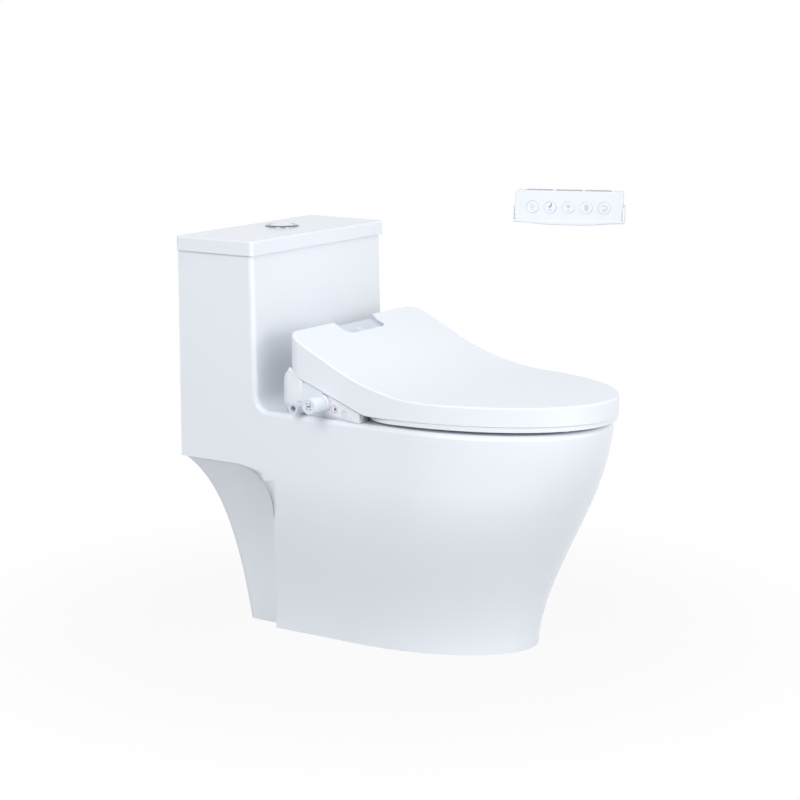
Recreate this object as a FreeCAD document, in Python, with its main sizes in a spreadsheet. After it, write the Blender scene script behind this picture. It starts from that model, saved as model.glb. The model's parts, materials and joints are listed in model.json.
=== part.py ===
import FreeCAD, Part
import math
import os
import Sketcher
from FreeCAD import Placement, Rotation, Vector

# Smart toilet with heated seat.  Millimetres, +Z up, the user sits facing -Y.
# The origin is the centre of the waste outlet at floor level.

doc = FreeCAD.newDocument("smart_toilet")

# ------------------------------------------------------------------ driving sizes
# name, value, what it measures
SIZES = (
    # fired ware, outside
    ("china_half_width", 190.6, "middle plane to the side of the pan and cistern"),
    ("china_back", 288, "outlet centre to the back of the cistern"),
    ("deck_height", 389, "floor to the seat deck"),
    ("cistern_top", 647, "floor to the rim of the cistern"),
    ("cistern_front_low", 127, "outlet centre to the cistern front at the deck"),
    ("cistern_front_top", 133, "outlet centre to the cistern front at its rim"),
    ("cove_radius", 27, "hollow curve between deck and cistern"),
    ("edge_round", 9, "rounding of the deck edge and the cistern corners"),
    ("rim_centre", -169.5, "where the pan's sides start to curve in at the deck"),
    ("rim_reach", 258.2, "from there to the front of the pan"),
    ("foot_half_width", 142.3, "middle plane to the side of the foot"),
    ("foot_centre", -48.9, "where the foot's sides start to curve in"),
    ("foot_reach", 250.5, "from there to the front of the foot"),
    ("recess_wall", 90, "outlet centre to the front wall of the side recess, at its top"),
    ("recess_foot", 126, "outlet centre to that wall at the floor"),
    ("recess_top", 293, "floor to the top of the side recess"),
    ("recess_radius", 70, "curve of the recess corner"),
    ("neck_foot_half", 118, "half width of the rear neck at the floor"),
    ("neck_inset", 1, "side of the cistern to the side of the rear neck under it"),
    ("neck_bulge", 2.6, "power of the neck's spread, 1 is straight"),
    ("neck_back_share", 0.32, "share of the neck's rearward spread that is all near its top"),
    ("neck_back_bulge", 9.7, "power of that share"),
    ("neck_foot_back", 204, "outlet centre to the back of the neck at the floor"),
    ("neck_corner", 16, "rounding of the neck's upright corners"),
    # fired ware, inside
    ("pan_wall", 11, "thickness of the skirt"),
    ("deck_wall", 12, "thickness of the deck"),
    ("cistern_wall", 10, "thickness of the cistern's walls and floor"),
    ("cistern_floor", 305, "floor to the inside bottom of the cistern"),
    ("bowl_front", -375, "front edge of the bowl's mouth"),
    ("bowl_rear", -69, "rear edge of the bowl's mouth"),
    ("bowl_half_width", 118, "half width of the bowl's mouth"),
    ("bowl_wall", 10, "thickness of the bowl"),
    ("bowl_bottom", 76, "floor to the lowest point of the bowl"),
    ("sump_centre", -128, "centre of the sump, outlet centre to there"),
    ("sump_half_width", 34, "half width of the sump"),
    ("sump_depth", 2, "depth of the sump below the siphon's entry"),
    ("trap_bore", 27, "radius of the siphon's bore"),
    ("trap_wall", 8, "thickness of the siphon's wall"),
    ("trap_bend", 40, "radius of the siphon's bends"),
    ("weir_height", 208, "floor to the bore's centre at the top of the siphon"),
    ("siphon_back", 52, "outlet centre to the falling leg of the siphon"),
    ("horn_radius", 41, "outside radius of the outlet horn"),
    ("horn_flange", 58, "radius of the flange above the outlet seal"),
    ("horn_height", 20, "height of the outlet horn under its flange"),
    ("horn_free", 8, "length of the horn's end under the seal"),
    ("horn_end_radius", 40, "outside radius of the horn's end"),
    ("duct_half_width", 48, "half width of the flush duct"),
    ("duct_height", 33, "height of the flush duct"),
    ("rear_door_half", 96, "half width of the opening in the back of the neck"),
    ("rear_door_top", 232, "floor to the top of that opening"),
    ("flush_x", 17, "middle plane to the flush valve and its button"),
    ("flush_y", 223, "outlet centre to the flush valve"),
    ("flush_hole", 34, "radius of the hole for the flush valve"),
    ("fill_x", -105, "middle plane to the inlet valve"),
    ("fill_y", 223, "outlet centre to the inlet valve"),
    ("fill_hole", 13, "radius of the hole for the inlet valve"),
    ("seat_bolt_x", 70, "middle plane to a bolt of the unit"),
    ("seat_bolt_y", 18, "outlet centre to the bolts of the unit"),
    ("seat_bolt_hole", 7, "radius of the holes for those bolts"),
    # fits
    ("seat_gap", 0.3, "gap between loose pieces that rest on each other"),
    ("slide_gap", 0.25, "gap round a sliding or pressed piece"),
    ("turn_gap", 0.06, "radial play of a turning pin"),
    # cistern lid and buttons
    ("lid_reach", 4.4, "cistern lid past each side of the cistern"),
    ("lid_depth", 161, "cistern lid, front to back"),
    ("lid_back", 290, "outlet centre to the back of the cistern lid"),
    ("lid_height", 24.6, "cistern lid, bottom to top"),
    ("lid_corner", 7, "rounding of the cistern lid's upright corners"),
    ("lid_rounding", 3.5, "rounding of the cistern lid's top edge"),
    ("lid_border", 13, "width of the cistern lid's resting border"),
    ("lid_pocket", 11, "depth of the cistern lid's underside"),
    ("bezel_radius", 30, "outside radius of the button's ring"),
    ("bezel_tube", 24.6, "radius of the ring's tube"),
    ("bezel_bore", 21.3, "bore of the button's ring"),
    ("bezel_height", 3, "height of the ring over the lid"),
    ("button_dome", 2.2, "height of the button's middle over the ring"),
    ("button_depth", 9, "thickness of the button halves"),
    ("button_split", -5, "split line of the button, from its centre along X"),
    ("rod_depth", 3, "how deep the push rods sit in the cage's top at rest"),
    ("rod_radius", 3, "radius of the push rods"),
    ("rod_offset", 12, "push rods from the button's centre"),
    # outlet valve
    ("valve_gasket", 3, "thickness of the outlet valve's gasket"),
    ("valve_bore", 26, "bore of the outlet valve"),
    ("valve_flange", 44, "radius of the outlet valve's flange"),
    ("valve_flange_height", 8, "thickness of that flange"),
    ("valve_lip", 2, "height of the sealing lip"),
    ("valve_nut_radius", 40, "radius of the outlet valve's nut"),
    ("valve_nut_height", 8, "height of the outlet valve's nut"),
    ("overflow_x", -39, "middle plane to the overflow pipe"),
    ("overflow_radius", 12.5, "outside radius of the overflow pipe"),
    ("overflow_bore", 10, "bore of the overflow pipe"),
    ("overflow_top", 588, "floor to the top of the overflow pipe"),
    ("cage_radius", 38, "outside radius of the outlet valve's cage"),
    ("cage_wall", 2.5, "thickness of the cage"),
    ("cage_height", 190, "height of the cage"),
    ("cage_window", 120, "height of the cage's windows"),
    ("canister_disc", 33, "radius of the lifting disc"),
    ("canister_float", 30, "radius of the lifting float"),
    ("canister_height", 145, "height of the lifting piece"),
    # inlet valve
    ("shank_radius", 10.4, "radius of the inlet valve's shank in the cistern floor"),
    ("shank_end_radius", 10.2, "radius of its threaded lower end"),
    ("shank_end", 18, "length of its threaded lower end"),
    ("shank_length", 43, "shank, from the cistern floor downwards"),
    ("stem_radius", 14, "radius of the inlet valve's stem"),
    ("stem_height", 212, "height of the inlet valve's stem"),
    ("head_radius", 23, "radius of the inlet valve's head"),
    ("head_height", 36, "height of the inlet valve's head"),
    ("nipple_radius", 3.2, "radius of the refill nipple"),
    ("float_radius", 36, "outside radius of the float"),
    ("float_height", 50, "height of the float"),
    ("hose_radius", 5, "outside radius of the refill hose"),
    ("hose_rise", 26, "straight run of the refill hose over the nipple"),
    # unit on the deck
    ("unit_inset", 0.9, "side of the pan to the outside of the unit's side arm"),
    ("body_inset", 8.3, "side of the seat lid to the unit's body under it"),
    ("shoulder_inset", 10.3, "side of that body to its part between the lid's rear corners"),
    ("shoulder_y", 22, "outlet centre to where the unit's body narrows to that"),
    ("unit_back", 78, "outlet centre to the back of the unit"),
    ("unit_front", -62, "outlet centre to the front wall of the unit"),
    ("unit_corner", 18, "rounding of the unit's rear corners"),
    ("unit_wall", 3, "thickness of the unit's shell"),
    ("unit_foot", 0.3, "gap between deck and cover"),
    ("arm_tip", -82, "outlet centre to the tip of the side arm"),
    ("arm_width", 22.7, "width of the side arm"),
    ("arm_tip_top_rise", 16, "deck to the top of the side arm's tip"),
    ("arm_rear_top_drop", 58.2, "lid's peak to the highest point of the side arm"),
    ("arm_back_top_drop", 87, "lid's peak to the top of the side arm's back"),
    ("arm_bend_y", 34, "where the side arm's top edge turns up"),
    ("arm_bend_z_drop", 77.4, "lid's peak to that turn"),
    ("arm_bend_curve", 40, "radius of that turn"),
    ("arm_peak_y", 57, "outlet centre to the highest point of the side arm"),
    ("undercut_height", 22, "height of the slanting underside at the rear"),
    ("undercut_width", 22, "width of the slanting underside at the rear"),
    ("hinge_y", 63, "outlet centre to the hinge axis"),
    ("hinge_z_drop", 55, "lid's peak to the hinge axis"),
    ("hinge_pin", 5, "radius of the hinge pins"),
    ("hinge_barrel", 11, "radius of the hinge barrels"),
    ("sweep_radius", 39.5, "round of the unit under the turning lid"),
    ("cover_gap", 3, "gap between the lid's inside and the unit"),
    ("trench_inner", 96, "middle plane to the inside of the hinge slot"),
    ("trench_outer", 128.5, "middle plane to the outside of the hinge slot"),
    ("trench_floor_rise", 13, "deck to the bottom of the hinge slot"),
    ("room_y", 38, "outlet centre to the front of the room for the lid's corners"),
    ("room_z_drop", 72, "lid's peak to the bottom of that room"),
    ("hub_gap", 0.5, "gap between a hinge upright and the cover round it"),
    ("panel_half", 57.5, "half width of the grey panel"),
    ("panel_front", 30, "outlet centre to the panel's front edge"),
    ("panel_back", 66, "outlet centre to the panel's back edge"),
    ("panel_front_z_drop", 23, "lid's peak to the panel's front edge"),
    ("panel_back_z_drop", 10.5, "lid's peak to the panel's back edge"),
    ("panel_thickness", 3, "thickness of the grey panel"),
    ("panel_corner", 16, "rounding of the panel's front corners"),
    ("plate_thickness", 3, "thickness of the mounting plate"),
    ("plate_half", 92, "half width of the mounting plate"),
    ("plate_front", -18, "outlet centre to the mounting plate's front"),
    ("plate_back", 54, "outlet centre to the mounting plate's back"),
    ("bolt_radius", 3.8, "radius of the unit's bolts"),
    ("bolt_head", 9, "radius of the bolt heads"),
    ("bolt_head_height", 5, "height of the bolt heads"),
    ("bolt_length", 40, "length of the unit's bolts"),
    ("bolt_nut", 14, "radius of the rubber nuts"),
    ("bolt_nut_height", 17, "height of the rubber nuts"),
    ("tray_inset", 24.7, "outside of the side arm to the side of the unit's tray"),
    ("tray_gap", 1, "gap between tray and shell"),
    ("upright_inner", 81, "middle plane to the inner hinge upright"),
    ("upright_width", 11.5, "width of a hinge upright"),
    ("upright_outer", 132, "middle plane to the outer hinge upright"),
    ("upright_depth", 22, "hinge upright, front to back"),
    ("damper_radius", 9, "radius of the hinge dampers"),
    ("damper_length", 21, "length of the hinge dampers"),
    ("seat_lug_x", 98, "middle plane to the seat's hinge lug"),
    ("lid_lug_x", 113.5, "middle plane to the lid's hinge lug"),
    ("lug_width", 13, "width of a hinge lug"),
    ("lug_lean", 27, "hinge axis to the front of the lid's lug where it meets the lid"),
    # left side of the unit
    ("filter_y", -10, "outlet centre to the filter"),
    ("filter_z_rise", 27, "deck to the filter"),
    ("knob_radius", 13.5, "radius of the filter's knob"),
    ("knob_length", 41, "length of the filter's knob"),
    ("knob_neck", 10.4, "radius of the knob's neck"),
    ("knob_collar", 15, "radius of the collar behind the knob"),
    ("knob_collar_width", 6, "width of that collar"),
    ("mesh_radius", 7.5, "radius of the filter mesh"),
    ("mesh_length", 30, "length of the filter mesh"),
    ("valve_block_inset", 17.7, "outside of the side arm to the water inlet block"),
    ("valve_block_width", 38, "width of the water inlet block"),
    ("inlet_y", 37, "outlet centre to the water inlet"),
    ("inlet_z_rise", 15, "deck to the water inlet"),
    ("inlet_radius", 10, "radius of the inlet's threaded nipple"),
    ("inlet_thread", 17, "length of the nipple's threaded end"),
    ("inlet_shank", 9.7, "radius of the nipple behind its thread"),
    ("inlet_bore", 5, "bore of the inlet nipple"),
    ("inlet_length", 37, "length of the inlet nipple"),
    ("stop_y", -32, "outlet centre to the stop button"),
    ("stop_z_rise", 19, "deck to the stop button"),
    ("stop_radius", 7, "radius of the stop button"),
    ("light_y", -52, "outlet centre to the light button"),
    ("light_z_rise", 14, "deck to the light button"),
    ("light_radius", 5.5, "radius of the light button"),
    ("side_button_depth", 6, "length of the side buttons"),
    ("side_button_proud", 0.6, "how far the side buttons stand out"),
    # nozzles
    ("nozzle_radius", 5, "radius of a nozzle"),
    ("nozzle_length", 104, "length of a nozzle"),
    ("nozzle_offset", 12, "middle plane to a nozzle"),
    ("nozzle_tip_y", -57, "outlet centre to the nozzle tips at rest"),
    ("nozzle_tip_z_rise", 13, "deck to the nozzle tips at rest"),
    ("nozzle_slope", 26, "slope of the nozzles, degrees"),
    ("guide_half", 21, "half width of the nozzle guide"),
    ("guide_height", 15, "height of the nozzle guide"),
    ("guide_length", 92, "length of the nozzle guide"),
    # inside the unit
    ("heater_inner", 30, "middle plane to the water heater"),
    ("heater_outer", 78, "middle plane to the water heater's far side"),
    ("works_front", -52, "outlet centre to the front of the works"),
    ("works_back", 4, "outlet centre to the back of the works"),
    ("works_height", 45, "height of the works over the tray"),
    ("fan_radius", 17.5, "radius of the dryer's impeller"),
    ("fan_gap", 1.2, "gap round the impeller"),
    ("fan_axle", 2, "radius of the impeller's axle"),
    ("board_thickness", 1.6, "thickness of the circuit boards"),
    ("board_y", 40, "outlet centre to the unit's circuit board"),
    ("board_height", 52, "height of the unit's circuit board"),
    ("filter_box_x", 140, "middle plane to the odour filter"),
    ("filter_box_width", 32, "width of the odour filter"),
    ("gland_x", 152, "middle plane to the power inlet"),
    ("gland_z_rise", 23, "deck to the power inlet"),
    ("gland_radius", 7, "radius of the power inlet's gland"),
    # seat
    ("seat_underside_rise", 6, "deck to the underside of the seat"),
    ("seat_band", 8, "height of the seat's lower band"),
    ("seat_height", 23, "height of the seat"),
    ("seat_outset", 0.2, "side of the pan to the side of the seat"),
    ("seat_step", 4, "step from the seat's band to its upper shell"),
    ("seat_centre", -145, "where the seat's sides start to curve in"),
    ("seat_reach", 290.5, "from there to the front of the seat"),
    ("seat_rear", -66, "outlet centre to the rear edge of the seat"),
    ("seat_corner", 78, "rounding of the seat's rear corners"),
    ("seat_wall", 3, "thickness of the seat's shells"),
    ("seat_rounding", 8, "rounding of the seat's top edges"),
    ("hole_half", 104, "half width of the seat's opening"),
    ("hole_front", -366, "front of the seat's opening"),
    ("hole_rear", -112, "rear of the seat's opening"),
    ("heater_film", 0.6, "thickness of the heating film"),
    ("notch_half", 46, "half width of the nozzle notch"),
    ("notch_reach", 60, "length of that notch from the seat's rear edge"),
    ("notch_top_rise", 20, "deck to the top of the nozzle notch"),
    # seat lid
    ("cover_outset", 3.7, "side of the pan to the side of the seat's lid"),
    ("cover_centre", -132, "where the lid's sides start to curve in"),
    ("cover_reach", 306, "from there to the front of the lid"),
    ("cover_back", 64, "outlet centre to the lid's rear edge"),
    ("cover_corner", 30, "rounding of the lid's rear corners"),
    ("cover_top_rise", 46, "deck to the flat front of the lid"),
    ("cover_low_rise", 14.6, "deck to the lid's lower edge"),
    ("cover_wall", 4, "thickness of the lid"),
    ("cover_bend", -120.6, "where the lid's top would turn up without its curve"),
    ("cover_curve", 400, "radius of that curve"),
    ("cover_peak_rise", 138, "deck to the top of the lid's rear edge"),
    ("cover_side_bend", -94, "where the lid's lower edge turns up"),
    ("cover_side_curve", 60, "radius of that turn"),
    ("cover_side_y", 36, "end of the lower edge's long slope"),
    ("cover_side_z_drop", 73.5, "lid's peak to that end"),
    ("cover_ear_curve", 40, "radius of the turn there"),
    ("cover_ear_y", 58, "rear end of the lid's lower edge"),
    ("cover_ear_z_drop", 55, "lid's peak to that end"),
    ("cover_rounding", 3, "rounding of the lid's top edge"),
    ("cover_notch_gap", 1.5, "gap round the grey panel"),
    ("bumper_radius", 7, "radius of the rubber feet"),
    # remote on the wall
    ("remote_x", 250, "middle plane to the remote's middle"),
    ("remote_y", -219, "outlet centre to the remote's middle"),
    ("remote_z", 713, "floor to the remote's middle"),
    ("remote_turn", 68.2, "turn of the remote about the upright, degrees"),
    ("remote_width", 186, "width of the remote"),
    ("remote_height", 52, "height of the remote"),
    ("remote_front_depth", 12, "depth of the remote's front case"),
    ("remote_back_depth", 10, "depth of the remote's back case"),
    ("remote_wall", 2, "thickness of the remote's cases"),
    ("remote_corner", 4, "rounding of the remote's corners"),
    ("key_radius", 10.5, "radius of the round keys"),
    ("key_pitch", 31, "distance between the round keys"),
    ("key_height", 1.5, "how far the keys stand out"),
    ("top_key_width", 44, "width of the flat keys on top"),
    ("top_key_depth", 12, "depth of the flat keys on top"),
    ("top_key_pitch", 50, "distance between the flat keys"),
    ("cradle_wall", 2.5, "thickness of the wall cradle"),
    ("cradle_height", 30, "height of the wall cradle's back"),
    ("cradle_lip", 14, "height of the wall cradle's front lip"),
    ("cradle_screw", 2.2, "radius of the cradle's screw holes"),
    ("cell_radius", 7, "radius of the battery cells"),
    ("cell_length", 50, "length of the battery cells"),
)


class Size:
    """A number together with the sheet formula that it comes from."""

    def __init__(self, value, formula):
        self.value = float(value)
        self.formula = formula

    def __float__(self):
        return self.value

    def __neg__(self):
        return Size(-self.value, f"(0 - {self.formula})")

    def __add__(self, other):
        return join(self, "+", other)

    def __radd__(self, other):
        return join(other, "+", self)

    def __sub__(self, other):
        return join(self, "-", other)

    def __rsub__(self, other):
        return join(other, "-", self)

    def __mul__(self, other):
        return join(self, "*", other)

    def __rmul__(self, other):
        return join(other, "*", self)

    def __truediv__(self, other):
        return join(self, "/", other)


def join(left, sign, right):
    """Both the number and the formula of left sign right."""
    left, right = as_size(left), as_size(right)
    results = {
        "+": left.value + right.value,
        "-": left.value - right.value,
        "*": left.value * right.value,
    }
    value = left.value / right.value if sign == "/" else results[sign]
    return Size(value, f"({left.formula} {sign} {right.formula})")


def as_size(number):
    return number if isinstance(number, Size) else Size(number, repr(number))


class Sheet:
    """The spreadsheet: each driving size is a cell with an alias, read back as a Size."""

    def __init__(self, rows):
        self.table = doc.addObject("Spreadsheet::Sheet", "sizes")
        for row, (name, value, meaning) in enumerate(rows, 1):
            self.table.set(f"A{row}", name)
            self.table.set(f"B{row}", str(value))
            self.table.set(f"C{row}", meaning)
            self.table.setAlias(f"B{row}", name)
        doc.recompute()
        for name, _, _ in rows:
            setattr(self, name, Size(self.table.get(name), f"sizes.{name}"))


s = Sheet(SIZES)

# places that follow the deck, the lid's peak and the sides of the ware
OVER_DECK = (
    "cover_peak", "cover_top", "cover_low", "seat_underside", "notch_top", "arm_tip_top", "trench_floor",
    "filter_z", "inlet_z", "stop_z", "light_z", "nozzle_tip_z", "gland_z",
)
UNDER_PEAK = (
    "hinge_z", "room_z", "arm_rear_top", "arm_back_top", "arm_bend_z",
    "panel_front_z", "panel_back_z", "cover_side_z", "cover_ear_z",
)
for place in OVER_DECK:
    setattr(s, place, s.deck_height + getattr(s, place + "_rise"))
for place in UNDER_PEAK:
    setattr(s, place, s.cover_peak - getattr(s, place + "_drop"))
s.lid_width = (s.china_half_width + s.lid_reach) * 2
s.neck_top_half = s.china_half_width - s.neck_inset
s.seat_half = s.china_half_width + s.seat_outset
s.cover_half = s.china_half_width + s.cover_outset
s.unit_half = s.china_half_width - s.unit_inset
s.unit_inner_half = s.cover_half - s.body_inset
s.shoulder_half = s.unit_inner_half - s.shoulder_inset
s.tray_half = s.unit_half - s.tray_inset
s.valve_block_x = s.unit_half - s.valve_block_inset
# beyond everything that stands on the deck
s.beyond = s.cover_peak + s.sweep_radius


# ------------------------------------------------------------------ shapes from numbers
def vec(x, y, z):
    return Vector(float(x), float(y), float(z))


def wire_of(points, bends=None):
    """A closed outline of straight runs; bends maps a corner's index to its radius."""
    bends = bends or {}
    count = len(points)
    edges = []
    starts, ends = [], []
    for index, corner in enumerate(points):
        before, after = points[index - 1], points[(index + 1) % count]
        radius = float(bends.get(index, 0))
        if radius == 0:
            starts.append(corner)
            ends.append(corner)
            continue
        first, last = (before - corner).normalize(), (after - corner).normalize()
        half = first.getAngle(last) / 2
        reach = radius / math.tan(half)
        middle = (first + last).normalize() * (radius / math.sin(half) - radius)
        starts.append(corner + first * reach)
        ends.append(corner + last * reach)
        edges.append(Part.Arc(starts[-1], corner + middle, ends[-1]).toShape())
    for index in range(count):
        start, end = ends[index - 1], starts[index]
        if start.distanceToPoint(end) > 1e-6:
            edges.append(Part.makeLine(start, end))
    return Part.Wire(Part.__sortEdges__(edges))


def slab(points, across, bends=None):
    """The outline points, all in one plane, carried along the vector across."""
    return Part.Face(wire_of(points, bends)).extrude(across)


def side_slab(outline, low, high, bends=None):
    """An outline of (y, z) pairs carried from x = low to x = high."""
    points = [vec(low, y, z) for y, z in outline]
    return slab(points, vec(high - low, 0, 0), bends)


def plan_slab(outline, low, high, bends=None):
    """An outline of (x, y) pairs carried from z = low to z = high."""
    points = [vec(x, y, low) for x, y in outline]
    return slab(points, vec(0, 0, high - low), bends)


def block(x, y, z):
    """A box from three (low, high) pairs."""
    size = [float(high) - float(low) for low, high in (x, y, z)]
    return Part.makeBox(*size, vec(x[0], y[0], z[0]))


def drum(centre, radius, length, axis=Vector(0, 0, 1)):
    return Part.makeCylinder(float(radius), float(length), centre, axis)


def mirrored(shape):
    """The same shape on the other side of the middle plane."""
    return shape.mirror(Vector(0, 0, 0), Vector(1, 0, 0))


def edges_where(shape, test):
    return [edge for edge in shape.Edges if test(edge.BoundBox, edge)]


def feature(label, shape):
    """A sub-part whose shape comes from Part's own functions."""
    item = doc.addObject("Part::Feature", label)
    item.Shape = shape
    item.Label = label
    return item


# ------------------------------------------------------------------ fired ware
def ease(share):
    """0 to 1 with level ends."""
    share = min(max(share, 0.0), 1.0)
    return share * share * (3 - 2 * share)


def half_oval(half_width, centre, reach, height):
    """The curved front edge of a plan section, from one side to the other."""
    middle = vec(0, centre, height)
    tip, side = vec(0, centre - reach, height), vec(half_width, centre, height)
    if reach > half_width:
        return Part.ArcOfEllipse(Part.Ellipse(tip, side, middle), -math.pi / 2, math.pi / 2).toShape()
    return Part.ArcOfEllipse(Part.Ellipse(side, tip, middle), -math.pi, 0).toShape()


class Flare:
    """How the pan narrows from deck to foot: half width, centre and front at a height."""

    def __init__(self, inset=0.0):
        self.inset = float(inset)

    def half_width(self, height):
        share = ease(1 - height / float(s.recess_top))
        spread = float(s.china_half_width - s.foot_half_width)
        return float(s.china_half_width) - spread * share - self.inset

    def centre(self, height):
        share = ease(1 - height / float(s.recess_top))
        return float(s.rim_centre) + float(s.foot_centre - s.rim_centre) * share

    def tip(self, height):
        drop = 1 - height / float(s.deck_height)
        share = 0.8 * ease(drop) + 0.2 * drop
        top, foot = float(s.rim_centre - s.rim_reach), float(s.foot_centre - s.foot_reach)
        return top + (foot - top) * share + self.inset

    def front_arc(self, height):
        centre = self.centre(height)
        return half_oval(self.half_width(height), centre, centre - self.tip(height), height)

    def front_section(self, height):
        """The curved front alone, closed straight across."""
        arc = self.front_arc(height)
        return Part.Wire([arc, Part.makeLine(arc.Vertexes[-1].Point, arc.Vertexes[0].Point)])

    def whole_section(self, height):
        """The curved front, the two sides and the back."""
        arc = self.front_arc(height)
        left, right = arc.Vertexes[0].Point, arc.Vertexes[-1].Point
        back_left, back_right = vec(left.x, s.china_back, height), vec(right.x, s.china_back, height)
        corners = [right, back_right, back_left, left]
        sides = [Part.makeLine(*ends) for ends in zip(corners, corners[1:])]
        return Part.Wire([arc] + sides)

    def lower(self):
        """From the floor to the top of the side recess."""
        return self.loft(self.whole_section, 0.0, float(s.recess_top))

    def upper_front(self):
        """The curved front, from there to the deck."""
        return self.loft(self.front_section, float(s.recess_top), float(s.deck_height))

    def loft(self, section, low, high):
        heights = [low + (high - low) * step / 6 for step in range(7)]
        return Part.makeLoft([section(height) for height in heights], True, False)


def china_profile():
    """Side outline of the ware: deck, cove, cistern, recess and foot."""
    front = s.rim_centre - s.rim_reach - s.edge_round
    outline = [
        vec(0, front, 0),
        vec(0, front, s.deck_height),
        vec(0, s.cistern_front_low, s.deck_height),
        vec(0, s.cistern_front_top, s.cistern_top),
        vec(0, s.china_back, s.cistern_top),
        vec(0, s.china_back, s.recess_top),
        vec(0, s.recess_wall, s.recess_top),
        vec(0, s.recess_foot, 0),
    ]
    half = vec(s.china_half_width, 0, 0)
    body = slab(outline, half * 2, {2: s.cove_radius, 6: s.recess_radius})
    body.translate(half * -1)
    return body


def china_outside():
    """Pan, deck and cistern as one lump, with the long rounded edge from pan to cistern."""
    flare = Flare()
    half = float(s.china_half_width)
    upright = block((-half, half), (s.rim_centre, s.china_back), (s.recess_top, s.cistern_top))
    upper = flare.upper_front().fuse(upright).common(china_profile()).removeSplitter()
    deck, back = float(s.deck_height), float(s.cistern_front_top) + 1

    def is_upper_edge(bound, edge):
        side = bound.XLength < 1 or bound.XLength > 2 * half - 1
        above = bound.ZMin > deck - 0.5 and bound.YMax < back and bound.XLength + bound.YLength > 3
        across_front = bound.XLength > 2 * half - 1 and bound.YMin > float(s.rim_centre)
        return side and above and not across_front

    upper = upper.makeFillet(float(s.edge_round), edges_where(upper, is_upper_edge))
    lump = upper.fuse(flare.lower().common(china_profile())).removeSplitter()
    return lump


def neck(inset, low, high, front):
    """The rear neck: narrow at the floor, spreading out under the cistern."""
    sections = []
    for step in range(7):
        height = low + (high - low) * step / 6
        share = max(height, 0) / float(s.recess_top)
        spread = share ** float(s.neck_bulge)
        half = float(s.neck_foot_half) + float(s.neck_top_half - s.neck_foot_half) * spread
        sudden = float(s.neck_back_share)
        back_share = (1 - sudden) * share + sudden * share ** float(s.neck_back_bulge)
        back = float(s.neck_foot_back) + float(s.china_back - s.neck_foot_back) * back_share
        half, back = half - inset, back - inset
        corners = [
            vec(-half, front, height),
            vec(half, front, height),
            vec(half, back, height),
            vec(-half, back, height),
        ]
        corner = float(s.neck_corner) - inset / 2
        sections.append(wire_of(corners, {2: corner, 3: corner}))
    return Part.makeLoft(sections, True, False)


def hollow():
    """The open underside: inside the skirt, under the deck and inside the neck."""
    wall = float(s.pan_wall)
    inside = Flare(wall)
    below, front = -1.0, s.rim_centre - s.rim_reach
    ceiling = s.deck_height - s.deck_wall
    rear_foot, rear_low, rear_high = s.recess_foot - wall, s.recess_wall - wall, s.cistern_front_low - 2
    step_height = s.recess_top + wall
    outline = [
        (front, below),
        (rear_foot, below),
        (rear_low, step_height),
        (rear_high, step_height),
        (rear_high, ceiling),
        (front, ceiling),
    ]
    half = s.china_half_width
    reach = side_slab(outline, -half, half)
    lower = inside.loft(inside.whole_section, -1.0, float(s.recess_top))
    upper_rear = half - wall
    upright = block((-upper_rear, upper_rear), (s.rim_centre, rear_high), (s.recess_top, ceiling))
    upper = inside.upper_front().fuse(upright)
    rear = neck(wall, -1.0, float(s.cistern_floor - s.cistern_wall), 0.0)
    return [lower.common(reach), upper.common(reach), rear]


# share of the bowl's depth, and how much of the spread from sump to mouth it has there
BOWL_SECTIONS = ((0.0, 1.0), (0.12, 0.98), (0.32, 0.811), (0.56, 0.459), (0.8, 0.135), (1.0, 0.0))


def bowl(grow):
    """The bowl's hollow, from its mouth down to the sump; grow makes the ware round it."""
    mouth_centre = (s.bowl_front + s.bowl_rear) / 2
    mouth_reach = (s.bowl_rear - s.bowl_front) / 2
    depth = float(s.deck_height - s.bowl_bottom)
    sections = []
    for share, spread in BOWL_SECTIONS:
        height = float(s.deck_height) + (1.0 if share == 0 else 0.0) - depth * share
        half = float(s.sump_half_width) + float(s.bowl_half_width - s.sump_half_width) * spread
        centre = float(s.sump_centre) + float(mouth_centre - s.sump_centre) * spread
        reach = float(s.sump_half_width) + float(mouth_reach - s.sump_half_width) * spread
        middle = vec(0, centre, height)
        tip, side = vec(0, centre - reach - grow - 0.5, height), vec(half + grow, centre, height)
        sections.append(Part.Wire(Part.Ellipse(tip, side, middle).toShape()))
    lump = Part.makeLoft(sections, True, False)
    if grow:
        lump = lump.fuse(Part.Face(sections[-1]).extrude(Vector(0, 0, -grow)))
    return lump


def siphon_path():
    """Centre line of the siphon, from the sump over the weir and down to the outlet."""
    low = s.bowl_bottom + s.sump_depth + s.trap_bore
    corners = [
        vec(0, s.sump_centre, low),
        vec(0, s.sump_centre + 73, low),
        vec(0, s.siphon_back - 77, s.weir_height),
        vec(0, s.siphon_back, s.weir_height),
        vec(0, s.siphon_back, s.horn_height + 75),
        vec(0, 0, s.horn_height + 30),
        vec(0, 0, -1),
    ]
    bend = float(s.trap_bend)
    edges, last = [], corners[0]
    for before, corner, after in zip(corners, corners[1:], corners[2:]):
        first, second = (before - corner).normalize(), (after - corner).normalize()
        half = first.getAngle(second) / 2
        reach = bend / math.tan(half)
        middle = corner + (first + second).normalize() * (bend / math.sin(half) - bend)
        edges.append(Part.makeLine(last, corner + first * reach))
        edges.append(Part.Arc(corner + first * reach, middle, corner + second * reach).toShape())
        last = corner + second * reach
    edges.append(Part.makeLine(last, corners[-1]))
    return Part.Wire(edges)


def tube_along(path, radius):
    start, toward = path.Edges[0].Vertexes[0].Point, path.Edges[0].tangentAt(path.Edges[0].FirstParameter)
    ring = Part.Wire(Part.makeCircle(float(radius), start, toward))
    return path.makePipeShell([ring], True, False)


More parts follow.
